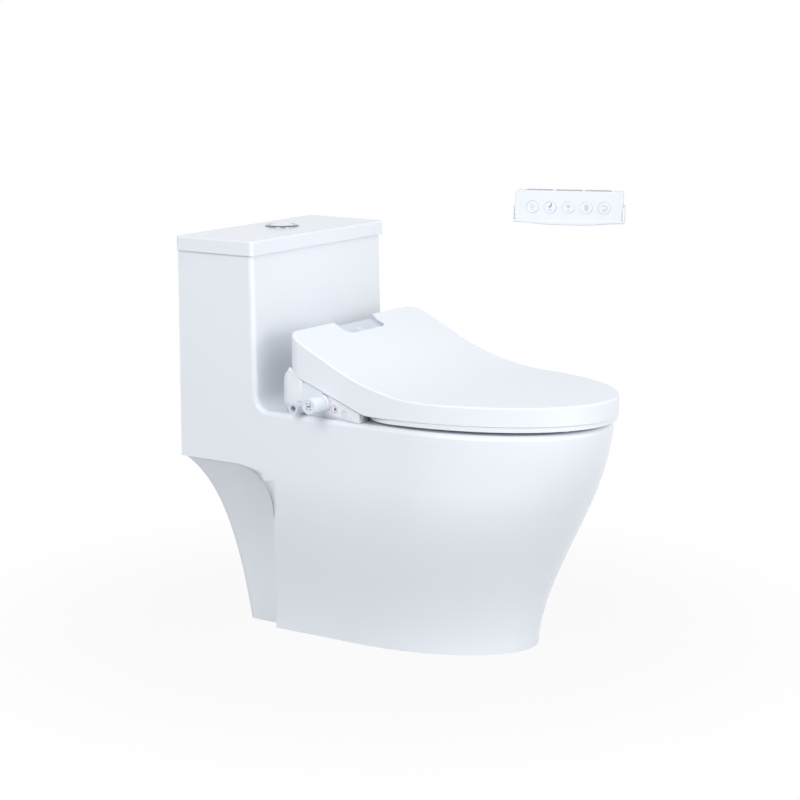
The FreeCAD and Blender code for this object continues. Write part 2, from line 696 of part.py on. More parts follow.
def china_body():
    """One fired piece: pan, skirt, siphon, flush duct and cistern."""
    outside = china_outside().fuse(neck(0.0, 0.0, float(s.recess_top), 0.0))
    path = siphon_path()
    wall, duct_top = s.trap_wall, s.cistern_floor - s.cistern_wall
    duct_x = (s.flush_x - s.duct_half_width, s.flush_x + s.duct_half_width)
    duct_y = (s.bowl_rear - 20, s.flush_y + s.flush_hole + wall)
    duct_z = (duct_top - s.duct_height, duct_top)
    duct_walls = block(
        (duct_x[0] - wall, duct_x[1] + wall),
        (duct_y[0], duct_y[1] + wall),
        (duct_z[0] - wall, duct_z[1] + wall),
    )
    side = s.china_half_width
    under_deck = block((-side, side), (s.rim_centre - s.rim_reach, s.china_back), (0, s.deck_height))
    inside_parts = [
        bowl(float(s.bowl_wall)).common(under_deck),
        tube_along(path, s.trap_bore + wall).common(under_deck),
        duct_walls,
        drum(vec(0, 0, 0), s.horn_end_radius, s.horn_free),
        drum(vec(0, 0, s.horn_free), s.horn_radius, s.horn_height - s.horn_free),
        drum(vec(0, 0, s.horn_height), s.horn_flange, wall + 4),
    ]
    walls = outside
    for void in hollow():
        walls = walls.cut(void)
    ware = walls.multiFuse([part.common(outside) for part in inside_parts])
    cistern_half = s.china_half_width - s.cistern_wall
    cistern_front = s.cistern_front_top + s.cistern_wall
    cistern = block(
        (-cistern_half, cistern_half),
        (cistern_front, s.china_back - s.cistern_wall),
        (s.cistern_floor, s.cistern_top + 1),
    )
    door = block(
        (-s.rear_door_half, s.rear_door_half),
        (s.neck_foot_back - s.pan_wall - 30, s.china_back),
        (-1, s.rear_door_top),
    )
    holes = [
        bowl(0.0),
        tube_along(path, s.trap_bore),
        block(duct_x, duct_y, duct_z),
        cistern,
        door,
        drum(vec(s.flush_x, s.flush_y, duct_top - 1), s.flush_hole, s.cistern_wall + 2),
        drum(vec(s.fill_x, s.fill_y, duct_top - 1), s.fill_hole, s.cistern_wall + 2),
    ]
    for side in (-1, 1):
        start = vec(s.seat_bolt_x * side, s.seat_bolt_y, s.deck_height - s.deck_wall - 1)
        holes.append(drum(start, s.seat_bolt_hole, s.deck_wall + 2))
    for hole in holes:
        ware = ware.cut(hole)
    return feature("china_body", ware)


# ------------------------------------------------------------------ document objects bound to the sheet
def bind(item, name, size):
    item.setExpression(name, as_size(size).formula)


def put(item, x, y, z, rotation=Rotation()):
    """Place an object at sizes from the sheet."""
    item.Placement = Placement(vec(x, y, z), rotation)
    for axis, size in zip("xyz", (x, y, z)):
        bind(item, f"Placement.Base.{axis}", size)
    return item


def box(name, x, y, z):
    """A Part box from three (low, high) pairs."""
    item = doc.addObject("Part::Box", name)
    for side, (low, high) in zip(("Length", "Width", "Height"), (x, y, z)):
        bind(item, side, high - as_size(low))
    return put(item, x[0], y[0], z[0])


TURNS = {
    "z": Rotation(),
    "x": Rotation(Vector(0, 1, 0), 90),
    "y": Rotation(Vector(1, 0, 0), -90),
}


def rod(name, start, radius, length, axis="z"):
    """A Part cylinder from its start point along a positive axis."""
    item = doc.addObject("Part::Cylinder", name)
    bind(item, "Radius", radius)
    bind(item, "Height", length)
    return put(item, *start, TURNS[axis])


def fused(label, items):
    item = doc.addObject("Part::MultiFuse", label)
    item.Shapes = items
    item.Label = label
    return item


def pierced(label, base, tools):
    """The base with every tool cut out of it."""
    tool = tools[0] if len(tools) == 1 else fused(label + "_tools", tools)
    item = doc.addObject("Part::Cut", label)
    item.Base = base
    item.Tool = tool
    item.Label = label
    return item


def group(label, items):
    """Separate solids that share one node."""
    item = doc.addObject("Part::Compound", label)
    item.Links = items
    item.Label = label
    return item


def ring(label, start, inner, outer, length, axis="z"):
    """A plain ring: an outer cylinder with a bore."""
    hole_start = list(start)
    place = "xyz".index(axis)
    hole_start[place] = hole_start[place] - 1
    base = rod(label + "_outside", start, outer, length, axis)
    return pierced(label, base, [rod(label + "_bore", hole_start, inner, length + 2, axis)])


def new_body(label):
    body = doc.addObject("PartDesign::Body", label)
    body.Label = label
    return body


def draw(body, plane, outline, offset=0):
    """A sketch of straight lines through the outline's corners, each held by two dimensions."""
    sketch = body.newObject("Sketcher::SketchObject", "outline")
    support = next(item for item in body.Origin.OriginFeatures if item.Role == plane)
    sketch.AttachmentSupport = [(support, "")]
    sketch.MapMode = "FlatFace"
    bind(sketch, "AttachmentOffset.Base.z", offset)
    count = len(outline)
    for index, (across, up) in enumerate(outline):
        following = outline[(index + 1) % count]
        sketch.addGeometry(Part.LineSegment(vec(across, up, 0), vec(*following, 0)))
    for index in range(count):
        sketch.addConstraint(Sketcher.Constraint("Coincident", index, 2, (index + 1) % count, 1))
    for index, corner in enumerate(outline):
        for kind, size in zip(("DistanceX", "DistanceY"), corner):
            rule = Sketcher.Constraint(kind, -1, 1, index, 1, float(size))
            number = sketch.addConstraint(rule)
            bind(sketch, f"Constraints[{number}]", size)
    return sketch


def pad(body, plane, outline, length, offset=0):
    feature_pad = body.newObject("PartDesign::Pad", "pad")
    feature_pad.Profile = draw(body, plane, outline, offset)
    bind(feature_pad, "Length", length)
    return feature_pad


def pocket(body, plane, outline, length, offset=0):
    """A pocket cut along the plane's normal, starting at the offset."""
    cut = body.newObject("PartDesign::Pocket", "pocket")
    cut.Profile = draw(body, plane, outline, offset)
    cut.Reversed = True
    bind(cut, "Length", length)
    return cut


def turned(label, outline):
    """A body turned about its own Z axis from (radius, height) corners."""
    body = new_body(label)
    turn = body.newObject("PartDesign::Revolution", "turn")
    sketch = draw(body, "XZ_Plane", outline)
    turn.Profile = sketch
    turn.ReferenceAxis = (sketch, ["V_Axis"])
    turn.Angle = 360
    return body


def rounded(body, base, radius, test):
    """Round the edges of a body's last feature that the test picks."""
    doc.recompute()
    names = [f"Edge{number}" for number, edge in enumerate(base.Shape.Edges, 1) if test(edge.BoundBox)]
    fillet = body.newObject("PartDesign::Fillet", "rounding")
    fillet.Base = (base, names)
    bind(fillet, "Radius", radius)
    return fillet


def is_upright(bound):
    return bound.XLength < 0.1 and bound.YLength < 0.1


def rectangle(x_low, x_high, y_low, y_high):
    return [(x_low, y_low), (x_high, y_low), (x_high, y_high), (x_low, y_high)]


# ------------------------------------------------------------------ floor seal and cistern lid
def floor_seal():
    """Soft ring round the horn, under its flange; the horn's end stands free below it."""
    height = s.horn_height - s.seat_gap - s.horn_free
    return ring("floor_seal", (0, 0, s.horn_free), s.horn_radius + s.seat_gap, s.horn_flange, height)


lid_low = s.cistern_top + s.seat_gap
lid_high = lid_low + s.lid_height


def cistern_lid():
    body = new_body("cistern_lid")
    half, front = s.lid_width / 2, s.lid_back - s.lid_depth
    plate = pad(body, "XY_Plane", rectangle(-half, half, front, s.lid_back), s.lid_height, lid_low)
    corners = rounded(body, plate, s.lid_corner, is_upright)
    high = float(lid_high)
    rounded(body, corners, s.lid_rounding, lambda bound: bound.ZMin > high - 0.1)
    border = s.lid_border
    inside = rectangle(border - half, half - border, front + border, s.lid_back - border)
    pocket(body, "XY_Plane", inside, s.lid_pocket, lid_low)
    hole = rod("lid_hole", (s.flush_x, s.flush_y, lid_low), s.bezel_tube + s.slide_gap, s.lid_height + 1)
    body.Label = "cistern_lid_blank"
    return pierced("cistern_lid", body, [hole])


def flush_bezel():
    tube_low, top = lid_high - 17, lid_high + s.bezel_height
    outline = [
        (s.bezel_bore, tube_low),
        (s.bezel_tube, tube_low),
        (s.bezel_tube, lid_high),
        (s.bezel_radius, lid_high),
        (s.bezel_radius, lid_high + 1.2),
        (s.bezel_radius - 3, top),
        (s.bezel_bore, top),
    ]
    return put(turned("flush_bezel", outline), s.flush_x, s.flush_y, 0)


button_top = lid_high + s.bezel_height


def flush_button(label, side):
    """One half of the pressed disc, on its own push rod; side is -1 or 1 along X."""
    radius = s.bezel_bore - s.slide_gap
    disc_low = button_top - s.button_depth
    disc = turned(label + "_disc", [
        (0, disc_low),
        (radius, disc_low),
        (radius, button_top - 0.6),
        (radius - 4, button_top + s.button_dome * 0.45),
        (radius / 2, button_top + s.button_dome * 0.85),
        (0, button_top + s.button_dome),
    ])
    put(disc, s.flush_x, s.flush_y, 0)
    split = s.flush_x + s.button_split
    edge = split + s.slide_gap * side
    far = split + 60 * side
    x_pair = (edge, far) if side > 0 else (far, edge)
    keep = box(label + "_half", x_pair, (s.flush_y - 40, s.flush_y + 40), (disc_low - 1, button_top + 10))
    half = doc.addObject("Part::Common", label + "_cap")
    half.Base = disc
    half.Tool = keep
    rod_low = flange_top + s.cage_height - s.rod_depth
    stem = rod(label + "_rod", (s.flush_x + s.rod_offset * side, s.flush_y, rod_low), s.rod_radius, disc_low - rod_low + 1)
    return fused(label, [half, stem])


def flush_button_full():
    return flush_button("flush_button_full", 1)


def flush_button_half():
    return flush_button("flush_button_half", -1)


# ------------------------------------------------------------------ outlet valve
valve_low = s.cistern_floor + s.valve_gasket
flange_top = valve_low + s.valve_flange_height
lip_top = flange_top + s.valve_lip
under_floor = s.cistern_floor - s.cistern_wall


def flush_valve_base():
    spigot = s.flush_hole - s.turn_gap * 8
    outline = [
        (s.valve_bore, under_floor - s.valve_nut_height - 2),
        (spigot, under_floor - s.valve_nut_height - 2),
        (spigot, valve_low),
        (s.valve_flange, valve_low),
        (s.valve_flange, flange_top),
        (s.valve_bore + 3, flange_top),
        (s.valve_bore + 3, lip_top),
        (s.valve_bore, lip_top),
    ]
    seat = put(turned("valve_seat", outline), s.flush_x, s.flush_y, 0)
    reach = s.flush_x - s.valve_bore - 4
    foot = box("overflow_foot", (s.overflow_x, reach), (s.flush_y - 9, s.flush_y + 9), (valve_low, flange_top))
    pipe = rod("overflow_pipe", (s.overflow_x, s.flush_y, valve_low), s.overflow_radius, s.overflow_top - valve_low)
    bore = rod("overflow_hole", (s.overflow_x, s.flush_y, valve_low + 3), s.overflow_bore, s.overflow_top)
    passage = rod("overflow_way", (s.overflow_x, s.flush_y, valve_low + 4), 2.4, reach - s.overflow_x + 10, "x")
    return pierced("flush_valve_base", fused("valve_lump", [seat, foot, pipe]), [bore, passage])


def flush_valve_gasket():
    start = (s.flush_x, s.flush_y, s.cistern_floor)
    return ring("flush_valve_gasket", start, s.flush_hole + 0.5, s.valve_flange, s.valve_gasket)


def flush_valve_nut():
    start = (s.flush_x, s.flush_y, under_floor - s.valve_nut_height)
    return ring("flush_valve_nut", start, s.flush_hole - s.turn_gap * 6, s.valve_nut_radius, s.valve_nut_height)


def flush_valve_cage():
    """Guide basket on the base's flange, with four windows and a top that guides the rods."""
    top = flange_top + s.cage_height
    inner = s.cage_radius - s.cage_wall
    outline = [
        (inner, flange_top),
        (s.cage_radius, flange_top),
        (s.cage_radius, top),
        (0, top),
        (0, top - 6),
        (inner, top - 6),
    ]
    shell = put(turned("cage_shell", outline), s.flush_x, s.flush_y, 0)
    window = (flange_top + 16, flange_top + 16 + s.cage_window)
    side = s.cage_radius * 0.5
    along_x = box("window_x", (s.flush_x - 60, s.flush_x + 60), (s.flush_y - side, s.flush_y + side), window)
    along_y = box("window_y", (s.flush_x - side, s.flush_x + side), (s.flush_y - 60, s.flush_y + 60), window)
    guides = [
        rod("rod_guide", (s.flush_x + s.rod_offset * way, s.flush_y, top - 10), s.rod_radius + s.slide_gap, 20)
        for way in (-1, 1)
    ]
    return pierced("flush_valve_cage", shell, [along_x, along_y] + guides)


canister_low = lip_top + 3.2


def flush_canister():
    low, high = canister_low, canister_low + s.canister_height
    outline = [
        (0, low),
        (s.canister_disc, low),
        (s.canister_disc, low + 5),
        (12, low + 9),
        (12, low + 24),
        (s.canister_float, low + 32),
        (s.canister_float, high - 20),
        (12, high - 14),
        (12, high),
        (0, high),
    ]
    return put(turned("flush_canister", outline), s.flush_x, s.flush_y, 0)


def canister_seal():
    start = (s.flush_x, s.flush_y, lip_top + 0.2)
    return ring("canister_seal", start, s.valve_bore - 2, s.valve_bore + 5, canister_low - lip_top - 0.2)


# ------------------------------------------------------------------ inlet valve
stem_low = s.cistern_floor + s.valve_gasket
stem_top = stem_low + s.stem_height
head_top = stem_top + s.head_height
shank_low = s.cistern_floor - s.shank_length


def fill_valve_body():
    outline = [
        (3, shank_low),
        (s.shank_end_radius, shank_low),
        (s.shank_end_radius, shank_low + s.shank_end),
        (s.shank_radius, shank_low + s.shank_end),
        (s.shank_radius, stem_low),
        (s.stem_radius + 7, stem_low),
        (s.stem_radius + 7, stem_low + 4),
        (s.stem_radius, stem_low + 6),
        (s.stem_radius, stem_top),
        (s.head_radius, stem_top + 3),
        (s.head_radius, head_top - 4),
        (s.nipple_radius + 6, head_top),
        (s.nipple_radius, head_top),
        (s.nipple_radius, head_top + 16),
        (1.2, head_top + 16),
        (1.2, stem_low),
        (3, stem_low),
    ]
    return put(turned("fill_valve_body", outline), s.fill_x, s.fill_y, 0)


def fill_valve_gasket():
    start = (s.fill_x, s.fill_y, s.cistern_floor)
    return ring("fill_valve_gasket", start, s.shank_radius + 0.3, s.stem_radius + 6, s.valve_gasket)


def fill_valve_nut():
    start = (s.fill_x, s.fill_y, under_floor - 9)
    return ring("fill_valve_nut", start, s.shank_radius + s.turn_gap, s.shank_radius + 9, 9)


def fill_valve_float():
    start = (s.fill_x, s.fill_y, stem_top - 25 - s.float_height)
    return ring("fill_valve_float", start, s.stem_radius + s.slide_gap, s.float_radius, s.float_height)


def refill_hose():
    """From the inlet valve's nipple, up, over in a half circle and down into the overflow pipe."""
    low, bend_z = head_top + 2, head_top + s.hose_rise
    radius = float(s.overflow_x - s.fill_x) / 2
    start, up = vec(s.fill_x, s.fill_y, low), vec(s.fill_x, s.fill_y, bend_z)
    down, end = vec(s.overflow_x, s.fill_y, bend_z), vec(s.overflow_x, s.fill_y, s.overflow_top - 12)
    crown = vec(s.fill_x, s.fill_y, bend_z) + Vector(radius, 0, radius)
    path = Part.Wire([Part.makeLine(start, up), Part.Arc(up, crown, down).toShape(), Part.makeLine(down, end)])
    bore = tube_along(path, s.nipple_radius + s.turn_gap)
    return feature("refill_hose", tube_along(path, s.hose_radius).cut(bore))


# ------------------------------------------------------------------ unit on the deck
plate_top = s.deck_height + s.plate_thickness
tray_top = plate_top + s.unit_wall


def mounting_plate():
    body = new_body("mounting_plate")
    plate = pad(body, "XY_Plane", rectangle(-s.plate_half, s.plate_half, s.plate_front, s.plate_back),
                s.plate_thickness, s.deck_height)
    rounded(body, plate, as_size(8), is_upright)
    for side in (-1, 1):
        middle = s.seat_bolt_x * side
        slot = rectangle(middle - s.bolt_radius - 0.6, middle + s.bolt_radius + 0.6,
                         s.seat_bolt_y - 12, s.seat_bolt_y + 12)
        pocket(body, "XY_Plane", slot, s.plate_thickness, s.deck_height)
    return body


def mounting_bolts():
    """Two bolts with their rubber nuts under the deck."""
    pieces = []
    for side in (-1, 1):
        x, y = s.seat_bolt_x * side, s.seat_bolt_y
        head = rod("bolt_head", (x, y, plate_top), s.bolt_head, s.bolt_head_height)
        shank = rod("bolt_shank", (x, y, plate_top - s.bolt_length), s.bolt_radius, s.bolt_length)
        pieces.append(fused("bolt", [head, shank]))
        nut_low = s.deck_height - s.deck_wall - s.bolt_nut_height
        pieces.append(ring("bolt_nut", (x, y, nut_low), s.bolt_radius + s.turn_gap, s.bolt_nut, s.bolt_nut_height))
    return group("mounting_bolts", pieces)


def upright_places():
    """Low X of each hinge upright, both sides."""
    inner, outer, width = s.upright_inner, s.upright_outer, s.upright_width
    return [-outer - width, -inner - width, inner, outer]


def unit_chassis():
    """Tray on the mounting plate with four uprights that carry the hinge pins."""
    back = s.unit_back - s.unit_wall - s.tray_gap
    tray = new_body("tray")
    floor = pad(tray, "XY_Plane", rectangle(-s.tray_half, s.tray_half, s.unit_front + 4, back),
                s.unit_wall, plate_top)
    rounded(tray, floor, s.unit_corner - s.unit_wall, is_upright)
    pieces = [tray]
    for low in upright_places():
        foot = (s.hinge_y - s.upright_depth / 2, s.hinge_y + s.upright_depth / 2)
        pieces.append(box("upright", (low, low + s.upright_width), foot, (plate_top + 1, s.hinge_z)))
        pieces.append(rod("upright_top", (low, s.hinge_y, s.hinge_z), s.upright_depth / 2, s.upright_width, "x"))
    holes = [rod("pin_hole", (-s.upright_outer - 20, s.hinge_y, s.hinge_z), s.hinge_pin, s.upright_outer * 2 + 40, "x")]
    for side in (-1, 1):
        start = (s.seat_bolt_x * side, s.seat_bolt_y, plate_top - 1)
        holes.append(rod("head_hole", start, s.bolt_head + 1.5, s.unit_wall + 2))
    return pierced("unit_chassis", fused("chassis_lump", pieces), holes)


def hinge_pins():
    pins = []
    low, high = s.upright_inner, s.upright_outer + s.upright_width + 2
    for start in (low, -high):
        pins.append(rod("hinge_pin", (start, s.hinge_y, s.hinge_z), s.hinge_pin, high - low, "x"))
    return group("hinge_pins", pins)


def hinge_dampers():
    dampers = []
    low = s.upright_inner - s.damper_length
    for start in (low, -s.upright_inner):
        dampers.append(rod("damper", (start, s.hinge_y, s.hinge_z), s.damper_radius, s.damper_length, "x"))
    return group("hinge_dampers", dampers)


def lid_top_outline(drop):
    """Front to back (y, z) corners of the seat lid's top, lowered square to its slope by drop."""
    slope = math.atan2(float(s.cover_peak - s.cover_top), float(s.cover_back - s.cover_bend))
    shift = drop * math.tan(slope / 2)
    return [
        (float(s.cover_bend) + shift, float(s.cover_top) - drop),
        (float(s.cover_back), float(s.cover_peak) - drop / math.cos(slope)),
    ]


def unit_lump(inset):
    """The unit's outside, or its inside with an inset: body, side arms and panel block."""
    gap = float(s.cover_wall + s.cover_gap) + inset
    bend, rear = lid_top_outline(gap)
    low = float(s.deck_height + s.unit_foot) - (10 if inset else 0)
    front, back = float(s.unit_front) + inset, float(s.unit_back) - inset
    slope = (rear[1] - bend[1]) / (rear[0] - bend[0])
    front_top = bend[1] + slope * (front - bend[0])
    half = float(s.unit_inner_half) - inset
    hinge = vec(-half, s.hinge_y, s.hinge_z)
    ridge = float(s.hinge_y) - float(s.sweep_radius) * math.sin(math.atan(slope))
    ridge_top = bend[1] + slope * (ridge - bend[0])
    slope_part = side_slab([(front, low), (front, front_top), (ridge, ridge_top), (ridge, low)], -half, half)
    radius = float(s.sweep_radius) - inset
    barrel = drum(hinge, radius, half * 2, Vector(1, 0, 0))
    behind = block((-half, half), (ridge, back), (low, float(s.hinge_z)))
    above = block((-half, half), (ridge - 0.01, back), (float(s.hinge_z) - 1, float(s.hinge_z) + radius))
    body = slope_part.multiFuse([behind, barrel.common(above)])
    shoulder, step_y = float(s.shoulder_half) - inset, float(s.shoulder_y) - inset
    for side_x in ((shoulder, half + 1), (-half - 1, -shoulder)):
        body = body.cut(block(side_x, (step_y, back + 1), (low - 1, s.beyond)))
    side = float(s.unit_half) - inset
    tip = float(s.arm_tip) + inset
    under = inset / math.cos(slope)
    arm_outline = [
        (tip, low),
        (tip, float(s.arm_tip_top) - under),
        (float(s.arm_bend_y), float(s.arm_bend_z) - under),
        (float(s.arm_peak_y), float(s.arm_rear_top) - under),
        (back, float(s.arm_back_top) - under),
        (back, low),
    ]
    arms = side_slab(arm_outline, -side, side, {2: s.arm_bend_curve})
    between = side - float(s.arm_width) + inset * 2
    arms = arms.cut(block((-between, between), (tip - 1, front), (low - 1, s.beyond)))
    panel_half = float(s.panel_half) - inset
    drop = float(s.panel_thickness) + inset
    panel_outline = [
        (front, low),
        (front, front_top),
        (float(s.panel_front) - 1 + inset, float(s.panel_front_z) - drop - 1),
        (float(s.panel_back), float(s.panel_back_z) - drop),
        (back, float(s.hinge_z) + float(s.sweep_radius) * 0.8 - inset),
        (back, low),
    ]
    panel = side_slab(panel_outline, -panel_half, panel_half)
    return body.multiFuse([arms, panel])


def lid_corner_room(grow):
    """Where the lid's rear corners swing, which the unit leaves free, except round the hinge."""
    x = (float(s.trench_outer) - grow, float(s.shoulder_half) + grow)
    room = block(x, (float(s.room_y) - grow, s.unit_back + s.unit_wall), (float(s.room_z) - grow, s.beyond))
    radius = float(s.upright_depth / 2 + s.hub_gap + s.unit_wall) - grow
    width = float(s.upright_outer + s.upright_width + s.hub_gap + s.unit_wall) - grow
    y, z = float(s.hinge_y), float(s.hinge_z)
    hub = drum(Vector(0, y, z), radius, width, Vector(1, 0, 0))
    post = block((0, width), (y - radius, y + radius), (s.deck_height, z))
    return room.cut(hub.fuse(post))


def slots(grow):
    """Both hinge slots and both corner rooms."""
    x = (float(s.trench_inner) - grow, float(s.trench_outer) + grow)
    y = (s.arm_tip - s.unit_wall, s.unit_back + s.unit_wall)
    trench = block(x, y, (float(s.trench_floor) - grow, s.beyond))
    right = trench.fuse(lid_corner_room(grow))
    return [right, mirrored(right)]


def undercut(grow):
    """The slanting underside of both side arms: nothing at the tip, most at the rear."""
    x, low = -float(s.unit_half), float(s.deck_height + s.unit_foot)
    sections = []
    for y, share in ((float(s.arm_tip), 0.001), (float(s.unit_back) + 1, 1.0)):
        width = float(s.undercut_width) * share + grow * math.sqrt(2)
        height = float(s.undercut_height) * share + grow * math.sqrt(2)
        corner = Vector(x - 2, y, low - 2)
        end_x, end_z = Vector(x + width + 2, y, low - 2), Vector(x - 2, y, low + height + 2)
        sections.append(Part.makePolygon([corner, end_x, end_z, corner]))
    left = Part.makeLoft(sections, True, True)
    return [left, mirrored(left)]


def panel_room():
    """The recess for the grey panel, open upwards."""
    gap = s.seat_gap
    front, back = s.panel_front - gap, s.unit_back + 1
    slope = (s.panel_back_z - s.panel_front_z) / (s.panel_back - s.panel_front)
    front_z = s.panel_front_z - s.panel_thickness - gap
    back_z = front_z + slope * (back - front)
    half = s.panel_half + gap
    return side_slab([(front, front_z), (back, back_z), (back, s.beyond), (front, s.beyond)], -half, half)


def rounded_plan(half, back, corner):
    """All of the deck's width up to the unit's back, its rear corners rounded, drawn tall."""
    front = s.arm_tip - s.unit_wall
    corners = [(-half, front), (half, front), (half, back), (-half, back)]
    return plan_slab(corners, s.deck_height - s.deck_wall, s.beyond, {2: corner, 3: corner})


def unit_cover():
    wall = s.unit_wall
    skin = 0.001
    outside = unit_lump(0.0).common(rounded_plan(s.unit_half + skin, s.unit_back, s.unit_corner))
    inside = unit_lump(float(wall))
    for tool in slots(float(wall)) + undercut(float(wall)):
        inside = inside.cut(tool)
    inner_plan = rounded_plan(s.unit_half - wall, s.unit_back - wall, s.unit_corner - wall)
    shell = outside.cut(inside.common(inner_plan))
    for tool in slots(0.0) + undercut(0.0) + [panel_room()]:
        shell = shell.cut(tool)
    into = Vector(1, 0, 0)
    left, depth = -s.unit_half - wall, s.unit_corner
    pin_end = s.upright_outer + s.upright_width + wall
    front = (s.unit_front - wall, s.unit_front + wall + s.tray_gap)
    holes = [
        drum(vec(left, s.filter_y, s.filter_z), s.knob_neck + s.slide_gap, depth, into),
        drum(vec(left, s.inlet_y, s.inlet_z), s.inlet_radius + s.slide_gap, depth * 2, into),
        drum(vec(left, s.stop_y, s.stop_z), s.stop_radius + s.slide_gap, depth, into),
        drum(vec(left, s.light_y, s.light_z), s.light_radius + s.slide_gap, depth, into),
        drum(vec(-pin_end, s.hinge_y, s.hinge_z), s.hinge_pin + s.slide_gap, pin_end * 2, into),
        block((-s.guide_half - 1, s.guide_half + 1), front, (s.deck_height - wall, s.nozzle_tip_z + 8)),
        block((s.heater_inner + 4, s.heater_outer - 4), front, (s.trench_floor - 4, s.trench_floor + 12)),
        drum(vec(s.gland_x, s.unit_back - wall - 2, s.gland_z), s.gland_radius - 2, 10, Vector(0, 1, 0)),
    ]
    for hole in holes:
        shell = shell.cut(hole)
    return feature("unit_cover", shell)


def sensor_panel():
    """Grey sloping panel in the lid's notch, its front corners rounded."""
    front, back, drop = s.panel_front, s.panel_back, s.panel_thickness
    outline = [
        (front, s.panel_front_z),
        (back, s.panel_back_z),
        (back, s.panel_back_z - drop),
        (front, s.panel_front_z - drop),
    ]
    strip = side_slab(outline, -s.panel_half, s.panel_half)
    corners = rectangle(-s.panel_half, s.panel_half, front, back + 1)
    plan = plan_slab(corners, s.deck_height, s.beyond, {0: s.panel_corner, 1: s.panel_corner})
    return feature("sensor_panel", strip.common(plan))


# ------------------------------------------------------------------ left side: filter, inlet, buttons
block_x = -s.valve_block_x


def inlet_valve():
    z = (tray_top, s.filter_z + 14)
    y = (s.filter_y - 14, s.inlet_y + 14)
    lump = box("inlet_block", (block_x, block_x + s.valve_block_width), y, z)
    bore = rod("filter_bore", (block_x - 1, s.filter_y, s.filter_z), s.mesh_radius + 0.8, s.mesh_length + 6, "x")
    way = rod("inlet_way", (block_x - 1, s.inlet_y, s.inlet_z + 3), s.inlet_bore, s.mesh_length, "x")
    return pierced("inlet_valve", lump, [bore, way])


def inlet_nipple():
    """Threaded outer end and a thinner shank that reaches the inlet block."""
    outer = block_x - s.inlet_length
    outline = [
        (s.inlet_bore, outer),
        (s.inlet_radius, outer),
        (s.inlet_radius, outer + s.inlet_thread),
        (s.inlet_shank, outer + s.inlet_thread),
        (s.inlet_shank, block_x),
        (s.inlet_bore, block_x),
    ]
    return put(turned("inlet_nipple", outline), 0, s.inlet_y, s.inlet_z, Rotation(Vector(0, 1, 0), 90))


neck_end = block_x - s.seat_gap


def filter_cap():
    """Knob outside the unit, its collar and the neck that reaches the inlet block."""
    side = -s.unit_half - s.seat_gap
    collar_end = side - s.knob_collar_width
    outer = side - s.knob_length
    outline = [
        (0, outer),
        (s.knob_radius - 1.5, outer),
        (s.knob_radius, outer + 1.5),
        (s.knob_radius, collar_end),
        (s.knob_collar, collar_end),
        (s.knob_collar, side),
        (s.knob_neck, side),
        (s.knob_neck, neck_end),
        (0, neck_end),
    ]
    body = turned("filter_cap_blank", outline)
    put(body, 0, s.filter_y, s.filter_z, Rotation(Vector(0, 1, 0), 90))
    slot = box("coin_slot", (outer - 1, outer + 1.5), (s.filter_y - 6, s.filter_y + 6), (s.filter_z - 1.2, s.filter_z + 1.2))
    return pierced("filter_cap", body, [slot])


def filter_mesh():
    start = (neck_end, s.filter_y, s.filter_z)
    return ring("filter_mesh", start, s.mesh_radius - 1.2, s.mesh_radius, s.mesh_length, "x")


def side_button(label, y, z, radius):
    start = (-(s.unit_half + s.side_button_proud), y, z)
    item = rod(label, start, radius, s.side_button_depth, "x")
    item.Label = label
    return item


def stop_button():
    return side_button("stop_button", s.stop_y, s.stop_z, s.stop_radius)


def light_button():
    return side_button("light_button", s.light_y, s.light_z, s.light_radius)


# ------------------------------------------------------------------ nozzles
def nozzle_turn():
    """Rotation that takes +X to the line from the tip back into the unit."""
    upward = Rotation(Vector(1, 0, 0), float(s.nozzle_slope))
    return upward.multiply(Rotation(Vector(0, 0, 1), 90))


def nozzle(label, side):
    """A tube with a rounded tip and its spray hole, lying on the nozzles' line."""
    radius, length = float(s.nozzle_radius), float(s.nozzle_length)
    tube = drum(Vector(0, 0, 0), radius, length, Vector(1, 0, 0))
    tube = tube.makeFillet(radius * 0.5, edges_where(tube, lambda bound, edge: bound.XMax < 0.1))
    spray = drum(Vector(radius * 1.6, 0, 0), radius * 0.2, radius * 2)
    item = feature(label, tube.cut(spray))
    item.Placement = Placement(vec(s.nozzle_offset * side, s.nozzle_tip_y, s.nozzle_tip_z), nozzle_turn())
    return item


def rear_nozzle():
    return nozzle("rear_nozzle", -1)


def front_nozzle():
    return nozzle("front_nozzle", 1)


def nozzle_guide():
    """Block on two feet with a bore for each nozzle."""
    height, half = float(s.guide_height), float(s.guide_half)
    start = 6.0
    lump = block((start, start + float(s.guide_length)), (-half, half), (-height / 2, height / 2))
    for side in (-1, 1):
        bore = drum(vec(0, s.nozzle_offset * side, 0), s.nozzle_radius + s.slide_gap, 200, Vector(1, 0, 0))
        lump = lump.cut(bore)
    turn = nozzle_turn()
    place = Placement(vec(0, s.nozzle_tip_y, s.nozzle_tip_z), turn)
    lump.Placement = place
    foot_y = float(s.nozzle_tip_y) + 62
    foot_top = float(s.nozzle_tip_z) + 62 * math.tan(math.radians(float(s.nozzle_slope))) - height * 0.45
    foot = block((-half, half), (foot_y, foot_y + 8), (tray_top, foot_top))
    return feature("nozzle_guide", lump.fuse(foot))


def nozzle_motors():
    """Two small motors at the rear end of the guide, on the tray."""
    motors = []
    y = s.nozzle_tip_y + 84
    for side in (-1, 1):
        start = (s.nozzle_offset * side, y, tray_top + 9.5)
        motors.append(rod("motor", start, 9.5, 18, "y"))
    return group("nozzle_motors", motors)


# ------------------------------------------------------------------ works inside the unit
works_y = (s.works_front, s.works_back)
works_z = (tray_top, tray_top + s.works_height)


